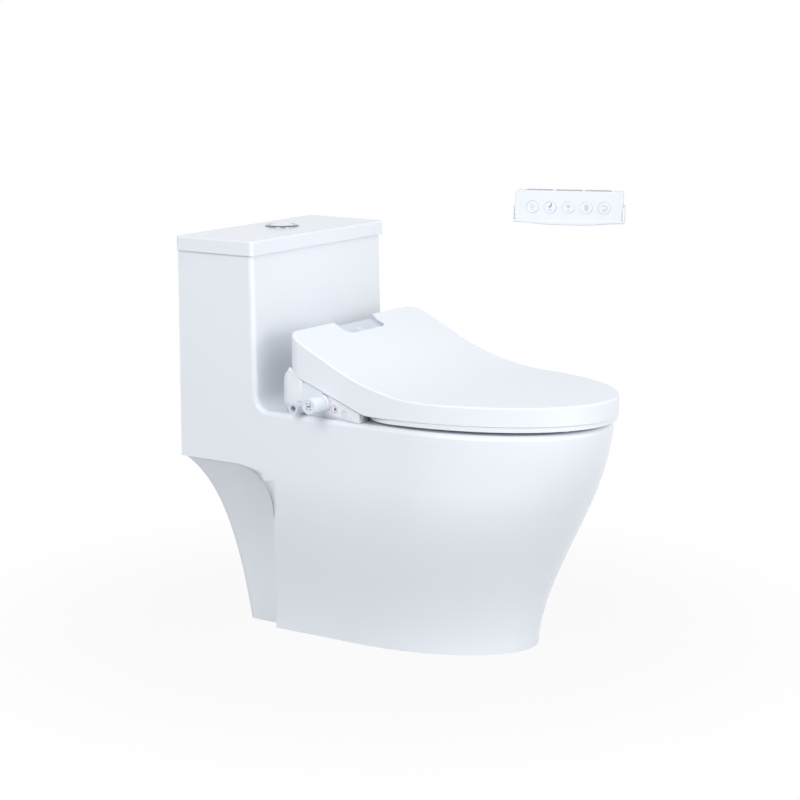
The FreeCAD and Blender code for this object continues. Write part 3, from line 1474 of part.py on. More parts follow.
def water_heater():
    tank = box("heater_tank", (-s.heater_outer, -s.heater_inner), works_y, works_z)
    inlet = rod("heater_inlet", (-(s.heater_inner + 12), s.works_back - 1, tray_top + 12), 4, 9, "y")
    outlet = rod("heater_outlet", (-(s.heater_outer - 12), s.works_back - 1, tray_top + 30), 4, 9, "y")
    return fused("water_heater", [tank, inlet, outlet])


fan_centre = ((s.works_front + s.works_back) / 2, tray_top + s.works_height / 2)
fan_room = s.fan_radius + s.fan_gap


def dryer_housing():
    y, z = fan_centre
    shell = box("dryer_shell", (s.heater_inner, s.heater_outer), works_y, works_z)
    chamber = rod("fan_chamber", (s.heater_inner + 3, y, z), fan_room, s.heater_outer - s.heater_inner - 6, "x")
    mouth = box("air_mouth", (s.heater_inner + 6, s.heater_outer - 6), (s.works_front - 1, y), (tray_top + 3, tray_top + 15))
    axle = rod("axle_hole", (s.heater_inner - 1, y, z), s.fan_axle + s.turn_gap, s.heater_outer - s.heater_inner + 2, "x")
    intake = rod("air_intake", (s.heater_outer - 4, y, z), s.fan_radius * 0.6, 6, "x")
    spokes = box("intake_spoke", (s.heater_outer - 3, s.heater_outer), (y - 4, y + 4), (z - s.fan_radius, z + s.fan_radius))
    pierced_shell = pierced("dryer_cut", shell, [chamber, mouth, intake])
    lump = fused("dryer_lump", [pierced_shell, spokes])
    return pierced("dryer_housing", lump, [axle])


def dryer_impeller():
    """Hub disc, axle and a ring of upright blades."""
    y, z = fan_centre
    width = s.heater_outer - s.heater_inner - 10
    start = s.heater_inner + 5
    disc = rod("fan_disc", (start, y, z), s.fan_radius, 2, "x")
    axle = rod("fan_axle", (s.heater_inner + 0.5, y, z), s.fan_axle, s.heater_outer - s.heater_inner - 1, "x")
    hub = rod("fan_hub", (start, y, z), s.fan_axle * 2.5, width, "x")
    blades = []
    for number in range(16):
        blade = doc.addObject("Part::Box", "fan_blade")
        bind(blade, "Length", width)
        bind(blade, "Width", s.fan_radius * 0.25)
        bind(blade, "Height", 1)
        turn = Rotation(Vector(1, 0, 0), number * 360 / 16)
        offset = turn.multVec(vec(0, s.fan_radius * 0.72, 0))
        blade.Placement = Placement(vec(start, y, z) + offset, turn)
        blades.append(blade)
    return fused("dryer_impeller", [disc, axle, hub] + blades)


def control_board():
    """Upright circuit board with its main parts."""
    x = (-s.heater_outer, -s.heater_inner)
    board = box("board", x, (s.board_y, s.board_y + s.board_thickness), (tray_top, tray_top + s.board_height))
    parts = [board]
    for step in range(3):
        low = tray_top + 6 + 15 * step
        parts.append(box("board_part", (x[0] + 6 + 4 * step, x[0] + 22 + 4 * step), (s.board_y - 7, s.board_y + 0.1), (low, low + 9)))
    return fused("control_board", parts)


def deodorizer_cartridge():
    x = (s.filter_box_x, s.filter_box_x + s.filter_box_width)
    case = box("odour_case", x, (s.works_front + 12, s.works_back + 20), (tray_top, tray_top + 30))
    vents = []
    for step in range(4):
        low = tray_top + 4 + 6 * step
        vents.append(box("odour_vent", (x[0] - 1, x[0] + 3), (s.works_front + 18, s.works_back + 14), (low, low + 3)))
    return pierced("deodorizer_cartridge", case, vents)


def cord_gland():
    """Stepped gland in the unit's back, right of the middle, where a power cord would enter."""
    flange = rod("gland_flange", (s.gland_x, s.unit_back, s.gland_z), s.gland_radius, 4, "y")
    neck_part = rod("gland_neck", (s.gland_x, s.unit_back - 6, s.gland_z), s.gland_radius - 2.3, 18, "y")
    bore = rod("gland_bore", (s.gland_x, s.unit_back - 7, s.gland_z), s.gland_radius - 4, 20, "y")
    return pierced("cord_gland", fused("gland_lump", [flange, neck_part]), [bore])


# ------------------------------------------------------------------ seat
def seat_plan(inset, low, high):
    """The seat's outline without its opening, drawn in by inset, between two heights."""
    half, rear = float(s.seat_half) - inset, float(s.seat_rear) - inset
    arc = half_oval(half, float(s.seat_centre), float(s.seat_reach) - inset, float(low))
    corner = float(s.seat_corner) - inset
    left, right = arc.Vertexes[0].Point, arc.Vertexes[-1].Point
    bend = 1 - math.sqrt(0.5)
    z = float(low)
    edges = [arc]
    for side, start in ((1, right), (-1, left)):
        turn_start = Vector(half * side, rear - corner, z)
        turn_end = Vector((half - corner) * side, rear, z)
        turn_middle = Vector((half - corner * bend) * side, rear - corner * bend, z)
        if start.distanceToPoint(turn_start) > 1e-6:
            edges.append(Part.makeLine(start, turn_start))
        edges.append(Part.Arc(turn_start, turn_middle, turn_end).toShape())
    edges.append(Part.makeLine(Vector(half - corner, rear, z), Vector(corner - half, rear, z)))
    outline = Part.Wire(Part.__sortEdges__(edges))
    return Part.Face(outline).extrude(vec(0, 0, high - low))


def seat_opening(grow, low, high):
    """The egg-shaped opening, widened by grow."""
    half = float(s.hole_half) + grow
    middle = float(s.hole_rear) - float(s.hole_half)
    front = half_oval(half, middle, middle - float(s.hole_front) + grow, float(low))
    left, right = front.Vertexes[0].Point, front.Vertexes[-1].Point
    back = Part.Arc(right, Vector(0, float(s.hole_rear) + grow, float(low)), left).toShape()
    return Part.Face(Part.Wire([front, back])).extrude(vec(0, 0, high - low))


band_top = s.seat_underside + s.seat_band
seat_top = s.seat_underside + s.seat_height


def nozzle_notch():
    rear = float(s.seat_rear)
    return block((-s.notch_half, s.notch_half), (rear - float(s.notch_reach), rear + 5), (s.seat_underside - 1, s.notch_top))


def seat_lug():
    """Arm from the seat's rear up to the hinge pin, on the right side."""
    x = float(s.seat_lug_x)
    low, rear = float(band_top), float(s.seat_rear)
    y, z = float(s.hinge_y), float(s.hinge_z)
    outline = [
        (rear - 30, low - 3),
        (rear + 9, low + 0.6),
        (rear + 22, low + 3),
        (y + 6, z - 9.2),
        (y - 6, z + 9.2),
        (rear + 12, low + 17),
        (rear - 2, low + 10.5),
        (rear - 30, low + 10.5),
    ]
    width = float(s.lug_width)
    arm = side_slab(outline, x, x + width)
    barrel = drum(Vector(x, y, z), s.hinge_barrel, width, Vector(1, 0, 0))
    hole = drum(Vector(x - 1, y, z), s.hinge_pin + s.turn_gap, width + 2, Vector(1, 0, 0))
    return arm.fuse(barrel).cut(hole)


def seat_bottom_shell():
    wall = float(s.seat_wall)
    plate = seat_plan(0.0, s.seat_underside, band_top).cut(seat_opening(0.0, s.seat_underside, band_top))
    room_low = s.seat_underside + s.seat_wall
    room = seat_plan(wall + 1, room_low, band_top + 1).cut(seat_opening(wall + 1, room_low, band_top + 1))
    shell = plate.cut(room).cut(nozzle_notch())
    lug = seat_lug()
    return feature("seat_bottom_shell", shell.multiFuse([lug, mirrored(lug)]))


def seat_top_solid(inset, lower):
    """The upper shell's outside, or its inside with an inset, rounded along both top edges."""
    top = float(seat_top) - inset
    low = float(band_top) - lower
    step = float(s.seat_step) + inset
    solid = seat_plan(step, low, top).cut(seat_opening(inset + 0.5, low, top))
    radius = max(float(s.seat_rounding) - inset, 1.0)
    return solid.makeFillet(radius, edges_where(solid, lambda bound, edge: bound.ZMin > top - 0.1))


def seat_top_shell():
    wall = float(s.seat_wall)
    shell = seat_top_solid(0.0, 0.0).cut(seat_top_solid(wall, 2.0)).cut(nozzle_notch())
    lug = float(s.seat_lug_x)
    gap = float(s.slide_gap)
    rear = float(s.seat_rear)
    exit_way = block((lug - gap, lug + float(s.lug_width) + gap), (rear - 12, rear + 2), (float(band_top) - 1, float(band_top) + 11))
    return feature("seat_top_shell", shell.cut(exit_way).cut(mirrored(exit_way)))


def seat_heater():
    """Thin heating film under the seat's top, clear of its rounded edges."""
    wall, film = float(s.seat_wall), s.heater_film
    high = seat_top - s.seat_wall
    inset = float(s.seat_step) + wall + float(s.seat_rounding)
    film_plan = seat_plan(inset, high - film, high).cut(seat_opening(wall + float(s.seat_rounding), high - film, high))
    ends = block((-200, 200), (s.hole_rear, 0), (high - film - 1, high + 1))
    return feature("seat_heater", film_plan.cut(ends))


def feet(label, places, low, high):
    """Round rubber feet at (x, y) places, mirrored to both sides."""
    items = []
    for x, y in places:
        for side in (-1, 1):
            items.append(rod(label + "_foot", (x * side, y, low), s.bumper_radius, high - low))
    return group(label, items)


def seat_bumpers():
    places = [(s.hole_half + 38, s.cover_centre - 40), (s.notch_half + 18, s.hole_front - 26)]
    return feet("seat_bumpers", places, s.deck_height + s.seat_gap, s.seat_underside)


# ------------------------------------------------------------------ seat lid
def cover_height(y):
    """Height of the lid's top at a place along its length: flat, curved, then sloping."""
    slope = math.atan2(float(s.cover_peak - s.cover_top), float(s.cover_back - s.cover_bend))
    radius, bend, flat = float(s.cover_curve), float(s.cover_bend), float(s.cover_top)
    reach = radius * math.tan(slope / 2)
    if y < bend - reach:
        return flat
    if y > bend + reach * math.cos(slope):
        return flat + (y - bend) * math.tan(slope)
    return flat + radius - math.sqrt(radius**2 - (y - bend + reach)**2)


def cover_lump(inset):
    """The lid's outside, or the room under it: plan outline cut by the side outline."""
    half = float(s.cover_half) - inset
    reach = float(s.cover_reach) - inset
    low, high = float(s.cover_low) - 5, float(s.cover_peak) + 5
    arc = half_oval(half, float(s.cover_centre), reach, low)
    left, right = arc.Vertexes[0].Point, arc.Vertexes[-1].Point
    back = float(s.cover_back) + (0.01 if inset else 0)
    corner = float(s.cover_corner) - inset
    bend = 1 - math.sqrt(0.5)
    z = low
    edges = [arc]
    for side, start in ((1, right), (-1, left)):
        turn_start = Vector(half * side, float(s.cover_back) - inset - corner, z)
        turn_middle = Vector((half - corner * bend) * side, float(s.cover_back) - inset - corner * bend, z)
        turn_end = Vector((half - corner) * side, float(s.cover_back) - inset, z)
        edges.append(Part.makeLine(start, turn_start))
        edges.append(Part.Arc(turn_start, turn_middle, turn_end).toShape())
        if inset:
            edges.append(Part.makeLine(turn_end, Vector(turn_end.x, back, z)))
    edges.append(Part.makeLine(Vector(half - corner, back, z), Vector(corner - half, back, z)))
    plan = Part.Face(Part.Wire(Part.__sortEdges__(edges))).extrude(Vector(0, 0, high - low))
    bend_point, peak = lid_top_outline(inset)
    bottom = float(s.cover_low) - (3 if inset else 0)
    front = float(s.cover_centre - s.cover_reach) - 2
    outline = [(front, bottom), (front, bend_point[1]), bend_point, (peak[0] + 1, peak[1] + 0.5)]
    if inset:
        outline += [(float(s.cover_back) + 1, bottom)]
        bends = {2: s.cover_curve}
    else:
        outline += [
            (float(s.cover_back) + 1, float(s.cover_ear_z) + 4),
            (float(s.cover_ear_y), float(s.cover_ear_z)),
            (float(s.cover_side_y), float(s.cover_side_z)),
            (float(s.cover_side_bend), bottom),
        ]
        bends = {2: s.cover_curve, 6: s.cover_ear_curve, 7: s.cover_side_curve}
    return plan.common(side_slab(outline, -s.cover_half - 1, s.cover_half + 1, bends))


def seat_lid():
    """Thin shell over seat and unit, notched round the grey panel, with two hinge lugs."""
    outside = cover_lump(0.0)
    rear_width = 2 * float(s.cover_half - s.cover_corner) + 1

    def is_top_edge(bound, edge):
        middle = edge.valueAt((edge.FirstParameter + edge.LastParameter) / 2)
        return abs(middle.z - cover_height(middle.y)) < 0.5 and bound.XLength < rear_width

    outside = outside.makeFillet(float(s.cover_rounding), edges_where(outside, is_top_edge))
    shell = outside.cut(cover_lump(float(s.cover_wall)))
    notch_half = float(s.panel_half + s.cover_notch_gap)
    notch_front = float(s.panel_front - s.cover_notch_gap)
    back = float(s.cover_back) + 5
    corner = float(s.panel_corner + s.cover_notch_gap)
    corners = [(-notch_half, notch_front), (notch_half, notch_front), (notch_half, back), (-notch_half, back)]
    notch = plan_slab(corners, s.hinge_z, s.beyond, {0: corner, 1: corner})
    x, width = float(s.lid_lug_x), float(s.lug_width)
    y, z = float(s.hinge_y), float(s.hinge_z)
    barrel_side, into_lid = float(s.hinge_barrel) - 0.4, 0.8 * float(s.cover_wall)
    rear, ahead = y - 2, y - float(s.lug_lean)
    outline = [
        (y - barrel_side, z - 2),
        (y + barrel_side, z - 2),
        (rear, cover_height(rear) - into_lid),
        (ahead, cover_height(ahead) - into_lid),
    ]
    lug = side_slab(outline, x, x + width)
    barrel = drum(Vector(x, y, z), s.hinge_barrel, width, Vector(1, 0, 0))
    hole = drum(Vector(x - 1, y, z), s.hinge_pin + s.turn_gap, width + 2, Vector(1, 0, 0))
    lug = lug.fuse(barrel).cut(hole)
    return feature("seat_lid", shell.cut(notch).multiFuse([lug, mirrored(lug)]))


def lid_bumpers():
    places = [(s.hole_half + 40, s.cover_centre - 60), (s.notch_half + 24, s.hole_front - 24)]
    return feet("lid_bumpers", places, seat_top + s.seat_gap, s.cover_top - s.cover_wall)


# ------------------------------------------------------------------ wall remote, modelled upright about its own middle
def remote_place():
    """Turn that faces the remote's keys, modelled towards -Y, to the room, and its place."""
    turn = Rotation(Vector(0, 0, 1), -float(s.remote_turn))
    return Placement(vec(s.remote_x, s.remote_y, s.remote_z), turn)


def hang(item):
    item.Placement = remote_place()
    return item


half_w, half_h = s.remote_width / 2, s.remote_height / 2
front_y, back_y = -s.remote_front_depth, s.remote_back_depth
key_places = [s.key_pitch * step for step in (-2, -1, 0, 1, 2)]
top_key_places = [s.top_key_pitch * step for step in (-1, 0, 1)]
key_z = -s.remote_height * 0.04
door_half = s.cell_length + 4
door_low = -half_h + 8


def case_block(y_low, y_high, inset):
    low, high = float(y_low), float(y_high)
    body = block((-half_w + inset, half_w - inset), (low, high), (-half_h + inset, half_h - inset))
    corner = max(float(s.remote_corner) - inset, 0.8)
    return body.makeFillet(corner, edges_where(body, lambda bound, edge: bound.YLength > bound.XLength + bound.ZLength))


def remote_front_case():
    wall = float(s.remote_wall)
    outside = case_block(front_y, 0, 0.0)
    front = float(front_y)
    outside = outside.makeFillet(1.2, edges_where(outside, lambda bound, edge: bound.YMax < front + 0.1))
    shell = outside.cut(case_block(front_y + s.remote_wall, 1, wall))
    for x in key_places:
        shell = shell.cut(drum(vec(x, front - 1, key_z), s.key_radius + s.slide_gap, wall + 2, Vector(0, 1, 0)))
    for x in top_key_places:
        half = s.top_key_width / 2 + s.slide_gap
        depth = (-s.top_key_depth + 2.5 - s.slide_gap, 1)
        shell = shell.cut(block((x - half, x + half), depth, (half_h - wall - 1, half_h + 1)))
    return hang(feature("remote_front_case", shell))


def remote_back_case():
    wall = float(s.remote_wall)
    shell = case_block(s.seat_gap / 3, back_y, 0.0).cut(case_block(-1, back_y - s.remote_wall, wall))
    door_way = block((-door_half, door_half), (back_y - wall - 1, back_y + 1), (door_low, half_h + 1))
    return hang(feature("remote_back_case", shell.cut(door_way)))


def battery_door():
    """Plate in the back case that slides out upwards."""
    x = door_half - s.slide_gap
    plate = block((-x, x), (back_y - s.remote_wall, back_y), (door_low + s.slide_gap, half_h))
    return hang(feature("battery_door", plate))


def remote_batteries():
    cells = []
    for side in (-1, 1):
        y = back_y - s.remote_wall - s.cell_radius - s.slide_gap
        start = vec(-s.cell_length / 2 + s.cell_length * 0.52 * side, y, -half_h + 21)
        cells.append(drum(start, s.cell_radius, s.cell_length, Vector(1, 0, 0)))
    return hang(feature("remote_batteries", Part.makeCompound(cells)))


def remote_board():
    wall = s.remote_wall
    y = front_y + wall + 1.9
    board = block((-half_w + wall + 1, half_w - wall - 1), (y, y + s.board_thickness), (-half_h + wall, half_h - wall - 6))
    return hang(feature("remote_board", board))


def remote_key(number):
    """A round key, from just in front of the board to just in front of the case."""
    x = key_places[number - 1]
    start = vec(x, front_y - s.key_height, key_z)
    length = float(s.remote_wall + s.key_height) + 0.5
    key = drum(start, s.key_radius, length, Vector(0, 1, 0))
    first = float(start.y)
    key = key.makeFillet(0.5, edges_where(key, lambda bound, edge: bound.YMax < first + 0.1))
    return hang(feature(f"remote_key_{number}", key))


def remote_top_key(number):
    x = top_key_places[number - 1]
    half = s.top_key_width / 2
    z = (half_h - s.remote_wall - 0.5, half_h + s.key_height)
    key = block((x - half, x + half), (-s.top_key_depth + 2.5, -0.5), z)
    return hang(feature(f"remote_top_key_{number}", key))


def remote_cradle():
    """Open-topped wall holder: back, floor, two ends and a low front lip with a waved top."""
    gap, wall = s.seat_gap, s.cradle_wall
    x = half_w + gap + wall
    y_back = back_y + gap
    low = -half_h - gap - wall
    outside = block((-x, x), (front_y - gap - wall, y_back + wall), (low, low + s.cradle_height))
    room_x = half_w + gap
    room = block((-room_x, room_x), (front_y - gap, y_back), (low + wall, half_h))
    front_cut = block((-x + 7, x - 7), (front_y - gap - wall - 1, front_y - gap + 1), (low + wall + 2.5, half_h))
    slope_cut = block((-x - 1, x + 1), (front_y - gap - wall - 1, y_back - 1), (low + s.cradle_lip, half_h))
    holder = outside.cut(room).cut(front_cut).cut(slope_cut)
    for side in (-1, 1):
        hole = drum(vec(half_w * 0.7 * side, y_back - 1, low + s.cradle_height * 0.7), s.cradle_screw, wall + 2, Vector(0, 1, 0))
        holder = holder.cut(hole)
    return hang(feature("remote_cradle", holder))


# ------------------------------------------------------------------ build, check and write
makers = [
    china_body, floor_seal, cistern_lid, flush_bezel, flush_button_full, flush_button_half,
    flush_valve_base, flush_valve_gasket, flush_valve_nut, flush_valve_cage, flush_canister, canister_seal,
    fill_valve_body, fill_valve_gasket, fill_valve_nut, fill_valve_float, refill_hose,
    mounting_plate, mounting_bolts, unit_chassis, hinge_pins, hinge_dampers, unit_cover, sensor_panel,
    inlet_valve, inlet_nipple, filter_cap, filter_mesh, stop_button, light_button,
    rear_nozzle, front_nozzle, nozzle_guide, nozzle_motors,
    water_heater, dryer_housing, dryer_impeller, control_board, deodorizer_cartridge, cord_gland,
    seat_bottom_shell, seat_top_shell, seat_heater, seat_bumpers, seat_lid, lid_bumpers,
    remote_cradle, remote_front_case, remote_back_case, battery_door, remote_batteries, remote_board,
]
nodes = [maker() for maker in makers]
nodes += [remote_key(number) for number in range(1, 6)]
nodes += [remote_top_key(number) for number in range(1, 4)]
doc.recompute()

for item in doc.Objects:
    if {"Invalid", "Error"} & set(item.State):
        raise RuntimeError(f"{item.Label} failed")
for node in nodes:
    if node.Shape.isNull() or not node.Shape.isValid() or node.Shape.Volume <= 0:
        raise RuntimeError(f"{node.Label} has no sound shape")

os.makedirs("parts", exist_ok=True)
for node in nodes:
    node.Shape.exportStep(f"parts/{node.Label}.step")
print(len(nodes), "sub-parts written")
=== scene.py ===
import functools
import json
import logging
import math
from collections.abc import Sequence
from dataclasses import dataclass, replace
from enum import Enum

import bmesh
import bpy
import numpy as np
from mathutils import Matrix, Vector


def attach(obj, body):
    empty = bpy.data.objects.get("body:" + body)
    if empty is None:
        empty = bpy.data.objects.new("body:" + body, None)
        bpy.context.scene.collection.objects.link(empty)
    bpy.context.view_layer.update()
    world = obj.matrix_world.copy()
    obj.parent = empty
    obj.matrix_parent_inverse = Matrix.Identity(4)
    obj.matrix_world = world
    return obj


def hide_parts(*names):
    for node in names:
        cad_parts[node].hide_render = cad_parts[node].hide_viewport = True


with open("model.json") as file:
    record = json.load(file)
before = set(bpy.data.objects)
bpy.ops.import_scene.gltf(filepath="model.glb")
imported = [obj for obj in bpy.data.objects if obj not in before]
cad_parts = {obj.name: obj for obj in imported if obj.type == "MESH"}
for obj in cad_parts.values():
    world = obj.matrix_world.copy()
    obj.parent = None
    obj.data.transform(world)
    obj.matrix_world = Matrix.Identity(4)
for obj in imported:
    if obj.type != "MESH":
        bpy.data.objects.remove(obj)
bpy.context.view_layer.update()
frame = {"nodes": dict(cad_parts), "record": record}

LOG = logging.getLogger("smart_toilet")
Pair = tuple[float, float]
Triple = tuple[float, float, float]

MM = 0.001
MERGE = 1e-7  # metres within which a surface's points are one
MERGE_COPY = 1e-6  # the same for the copies of carried-over nodes
CREASE = 32.0  # degrees beyond which a surface's edges stay sharp


# ---------------------------------------------------------------- finishes
class Surface(Enum):
    """The kinds of surface that the object's materials have."""

    GLAZE = "fired glaze"
    MOULDED = "moulded plastic"
    METAL = "metal"
    RUBBER = "rubber"


@dataclass(frozen=True)
class Shading:
    """Adds, fills and links the nodes of one shader tree.

    Attributes:
        tree: the node tree.
    """

    tree: bpy.types.NodeTree

    def add(self, kind: str, values: dict[str, object] | None = None) -> bpy.types.Node:
        """Add a node of the kind, named without its ShaderNode, and fill its inputs."""
        return self.fill(self.tree.nodes.new("ShaderNode" + kind), values or {})

    def fill(self, node: bpy.types.Node, values: dict[str, object]) -> bpy.types.Node:
        """Give a node's inputs fixed values.

        Args:
            node: the node.
            values: the values by the inputs' names.

        Returns:
            The same node.
        """
        for name, value in values.items():
            node.inputs[name].default_value = value
        return node

    def link(
        self, source: bpy.types.Node, output: str | int, target: bpy.types.Node, socket: str | int
    ) -> None:
        """Link an output of the source to an input of the target."""
        self.tree.links.new(source.outputs[output], target.inputs[socket])

    def either(self, first: str, second: str) -> bpy.types.Node:
        """Tell rays of two kinds from all others.

        Args:
            first: the one kind, as the Light Path node names it.
            second: the other kind.

        Returns:
            A node whose value is 1 for both kinds and 0 for the rest.
        """
        path, larger = self.add("LightPath"), self.add("Math")
        larger.operation = "MAXIMUM"
        self.link(path, first, larger, 0)
        self.link(path, second, larger, 1)
        return larger

    def mix(
        self, share: bpy.types.Node, output: str, low: bpy.types.Node, high: bpy.types.Node
    ) -> bpy.types.Node:
        """Mix two shaders.

        Args:
            share: the node that gives the share of the high shader.
            output: which of its outputs.
            low: the first shader.
            high: the second shader.

        Returns:
            The mixing node.
        """
        mixed = self.add("MixShader")
        self.link(share, output, mixed, "Fac")
        self.link(low, 0, mixed, 1)
        self.link(high, 0, mixed, 2)
        return mixed


CLOUD_DETAIL, GRAIN_DETAIL = 3, 2  # octaves of the two noises
CLOUD_RAMP = (0.3, 0.7)  # noise values between which the colour changes
LEAST_ROUGHNESS = 0.02
BUMP_STRENGTH = 0.6
COAT_ROUGHNESS = 0.12


@dataclass(frozen=True)
class Finish:
    """A finish: its colour and gloss, how far they vary, and the grain of its surface.

    Attributes:
        name: the material's name.
        surface: the kind of surface.
        colour: linear base colour.
        roughness: mean roughness.
        spread: how far the roughness varies.
        tint: how far the colour darkens in its variation, as a share.
        cloud: size in metres of the colour's variation.
        grain: size in metres of the bumps.
        relief: height in metres of the bumps.
        coat: strength of a clear coat.
    """

    name: str
    surface: Surface
    colour: Triple
    roughness: float
    spread: float
    tint: float
    cloud: float
    grain: float
    relief: float
    coat: float = 0.0

    def build(self) -> bpy.types.Material:
        """Build the material's nodes.

        Returns:
            The material.
        """
        material = bpy.data.materials.new(self.name)
        material.use_nodes = True
        tree = Shading(material.node_tree)
        shader = material.node_tree.nodes["Principled BSDF"]
        place = tree.add("TexCoord")
        clouds = tree.add("TexNoise", {"Scale": 1 / self.cloud, "Detail": CLOUD_DETAIL})
        grains = tree.add("TexNoise", {"Scale": 1 / self.grain, "Detail": GRAIN_DETAIL})
        for noise in (clouds, grains):
            tree.link(place, "Object", noise, "Vector")
        ramp = tree.add("ValToRGB")
        darker = tuple(channel * (1 - self.tint) for channel in self.colour)
        for number, colour in enumerate((darker, self.colour)):
            ramp.color_ramp.elements[number].position = CLOUD_RAMP[number]
            ramp.color_ramp.elements[number].color = (*colour, 1)
        tree.link(clouds, "Fac", ramp, "Fac")
        tree.link(ramp, "Color", shader, "Base Color")
        least = max(self.roughness - self.spread, LEAST_ROUGHNESS)
        gloss = tree.add("MapRange", {"To Min": least, "To Max": self.roughness + self.spread})
        tree.link(grains, "Fac", gloss, "Value")
        tree.link(gloss, "Result", shader, "Roughness")
        bump = tree.add("Bump", {"Strength": BUMP_STRENGTH, "Distance": self.relief})
        tree.link(grains, "Fac", bump, "Height")
        tree.link(bump, "Normal", shader, "Normal")
        metallic = 1.0 if self.surface is Surface.METAL else 0.0
        coat = {"Coat Weight": self.coat, "Coat Roughness": COAT_ROUGHNESS}
        tree.fill(shader, {"Metallic": metallic, **coat})
        return material


# Each row: name, colour, roughness, spread, tint, cloud, grain, relief, and a coat if any.
FINISH_ROWS = {
    Surface.GLAZE: (
        ("glazed_china", (0.86, 0.885, 0.925), 0.24, 0.03, 0.02, 0.25, 0.012, 2e-5),
    ),
    Surface.MOULDED: (
        ("white_plastic", (0.86, 0.885, 0.925), 0.33, 0.05, 0.015, 0.2, 0.0012, 4e-6),
        ("button_white", (0.87, 0.89, 0.925), 0.22, 0.04, 0.02, 0.03, 0.001, 4e-6),
        ("valve_plastic", (0.70, 0.71, 0.72), 0.45, 0.08, 0.06, 0.05, 0.0015, 1e-5),
        ("valve_nut_plastic", (0.08, 0.10, 0.12), 0.5, 0.08, 0.1, 0.03, 0.0015, 1e-5),
        ("canister_plastic", (0.10, 0.22, 0.42), 0.4, 0.06, 0.08, 0.05, 0.0015, 1e-5),
        ("grey_plastic", (0.27, 0.29, 0.32), 0.45, 0.08, 0.06, 0.05, 0.0015, 1e-5),
        ("damper_plastic", (0.03, 0.032, 0.035), 0.45, 0.08, 0.15, 0.03, 0.0015, 1e-5),
        ("panel_grey", (0.64, 0.69, 0.76), 0.14, 0.03, 0.03, 0.05, 0.001, 2e-6, 0.6),
        ("nipple_plastic", (0.76, 0.80, 0.86), 0.35, 0.05, 0.04, 0.02, 0.001, 6e-6),
        ("knob_plastic", (0.80, 0.83, 0.885), 0.25, 0.05, 0.03, 0.03, 0.001, 5e-6),
        ("stop_plastic", (0.84, 0.86, 0.90), 0.25, 0.05, 0.04, 0.01, 0.001, 4e-6),
        ("light_plastic", (0.84, 0.86, 0.90), 0.25, 0.05, 0.04, 0.01, 0.001, 4e-6),
        ("heater_tank_plastic", (0.15, 0.11, 0.07), 0.5, 0.08, 0.15, 0.02, 0.0015, 1e-5),
        ("board_green", (0.01, 0.10, 0.04), 0.35, 0.08, 0.2, 0.01, 0.001, 6e-6),
        ("remote_white", (0.83, 0.85, 0.89), 0.3, 0.05, 0.02, 0.1, 0.001, 5e-6),
        ("key_plastic", (0.84, 0.86, 0.90), 0.3, 0.05, 0.03, 0.01, 0.001, 4e-6),
        ("mark_grey", (0.09, 0.10, 0.13), 0.4, 0.05, 0.1, 0.01, 0.001, 2e-6),
        ("mark_pale", (0.40, 0.42, 0.47), 0.4, 0.05, 0.1, 0.01, 0.001, 2e-6),
        ("mark_faint", (0.58, 0.60, 0.65), 0.4, 0.05, 0.1, 0.01, 0.001, 2e-6),
        ("mark_pink", (0.82, 0.55, 0.70), 0.4, 0.05, 0.05, 0.01, 0.001, 2e-6),
        ("mark_white", (0.88, 0.90, 0.93), 0.4, 0.05, 0.02, 0.01, 0.001, 2e-6),
        ("key_grey", (0.42, 0.44, 0.48), 0.4, 0.05, 0.05, 0.01, 0.001, 6e-6),
    ),
    Surface.METAL: (
        ("chrome_ring", (0.40, 0.41, 0.44), 0.1, 0.04, 0.05, 0.02, 0.001, 2e-6),
        ("bolt_steel", (0.58, 0.58, 0.60), 0.32, 0.08, 0.1, 0.01, 0.0006, 6e-6),
        ("pin_steel", (0.62, 0.62, 0.64), 0.28, 0.08, 0.1, 0.01, 0.0006, 4e-6),
        ("nozzle_steel", (0.70, 0.70, 0.72), 0.16, 0.05, 0.05, 0.02, 0.001, 2e-6),
        ("motor_steel", (0.40, 0.40, 0.42), 0.4, 0.08, 0.1, 0.02, 0.001, 6e-6),
        ("heater_foil", (0.75, 0.75, 0.76), 0.35, 0.1, 0.1, 0.01, 0.002, 3e-5),
        ("cell_steel", (0.20, 0.21, 0.23), 0.35, 0.08, 0.1, 0.01, 0.001, 4e-6),
    ),
    Surface.RUBBER: (
        ("dark_rubber", (0.02, 0.02, 0.022), 0.7, 0.1, 0.2, 0.02, 0.0008, 2e-5),
        ("seal_red", (0.28, 0.03, 0.02), 0.6, 0.08, 0.15, 0.02, 0.001, 2e-5),
        ("hose_rubber", (0.32, 0.35, 0.38), 0.5, 0.08, 0.1, 0.03, 0.001, 1e-5),
        ("bumper_rubber", (0.45, 0.49, 0.55), 0.6, 0.08, 0.05, 0.01, 0.0008, 1e-5),
    ),
}
FINISHES = {
    row[0]: Finish(row[0], kind, *row[1:]) for kind, rows in FINISH_ROWS.items() for row in rows
}


@functools.cache
def material_of(name: str) -> bpy.types.Material:
    """Return the material of a finish, built at its first use."""
    return FINISHES[name].build()


def dress_nodes() -> None:
    """Give every carried-over node the material of its slot in the record."""
    for part in frame["record"]["subparts"]:
        mesh = frame["nodes"][part["node"]].data
        mesh.materials.clear()
        mesh.materials.append(material_of(part["material_slot"]))


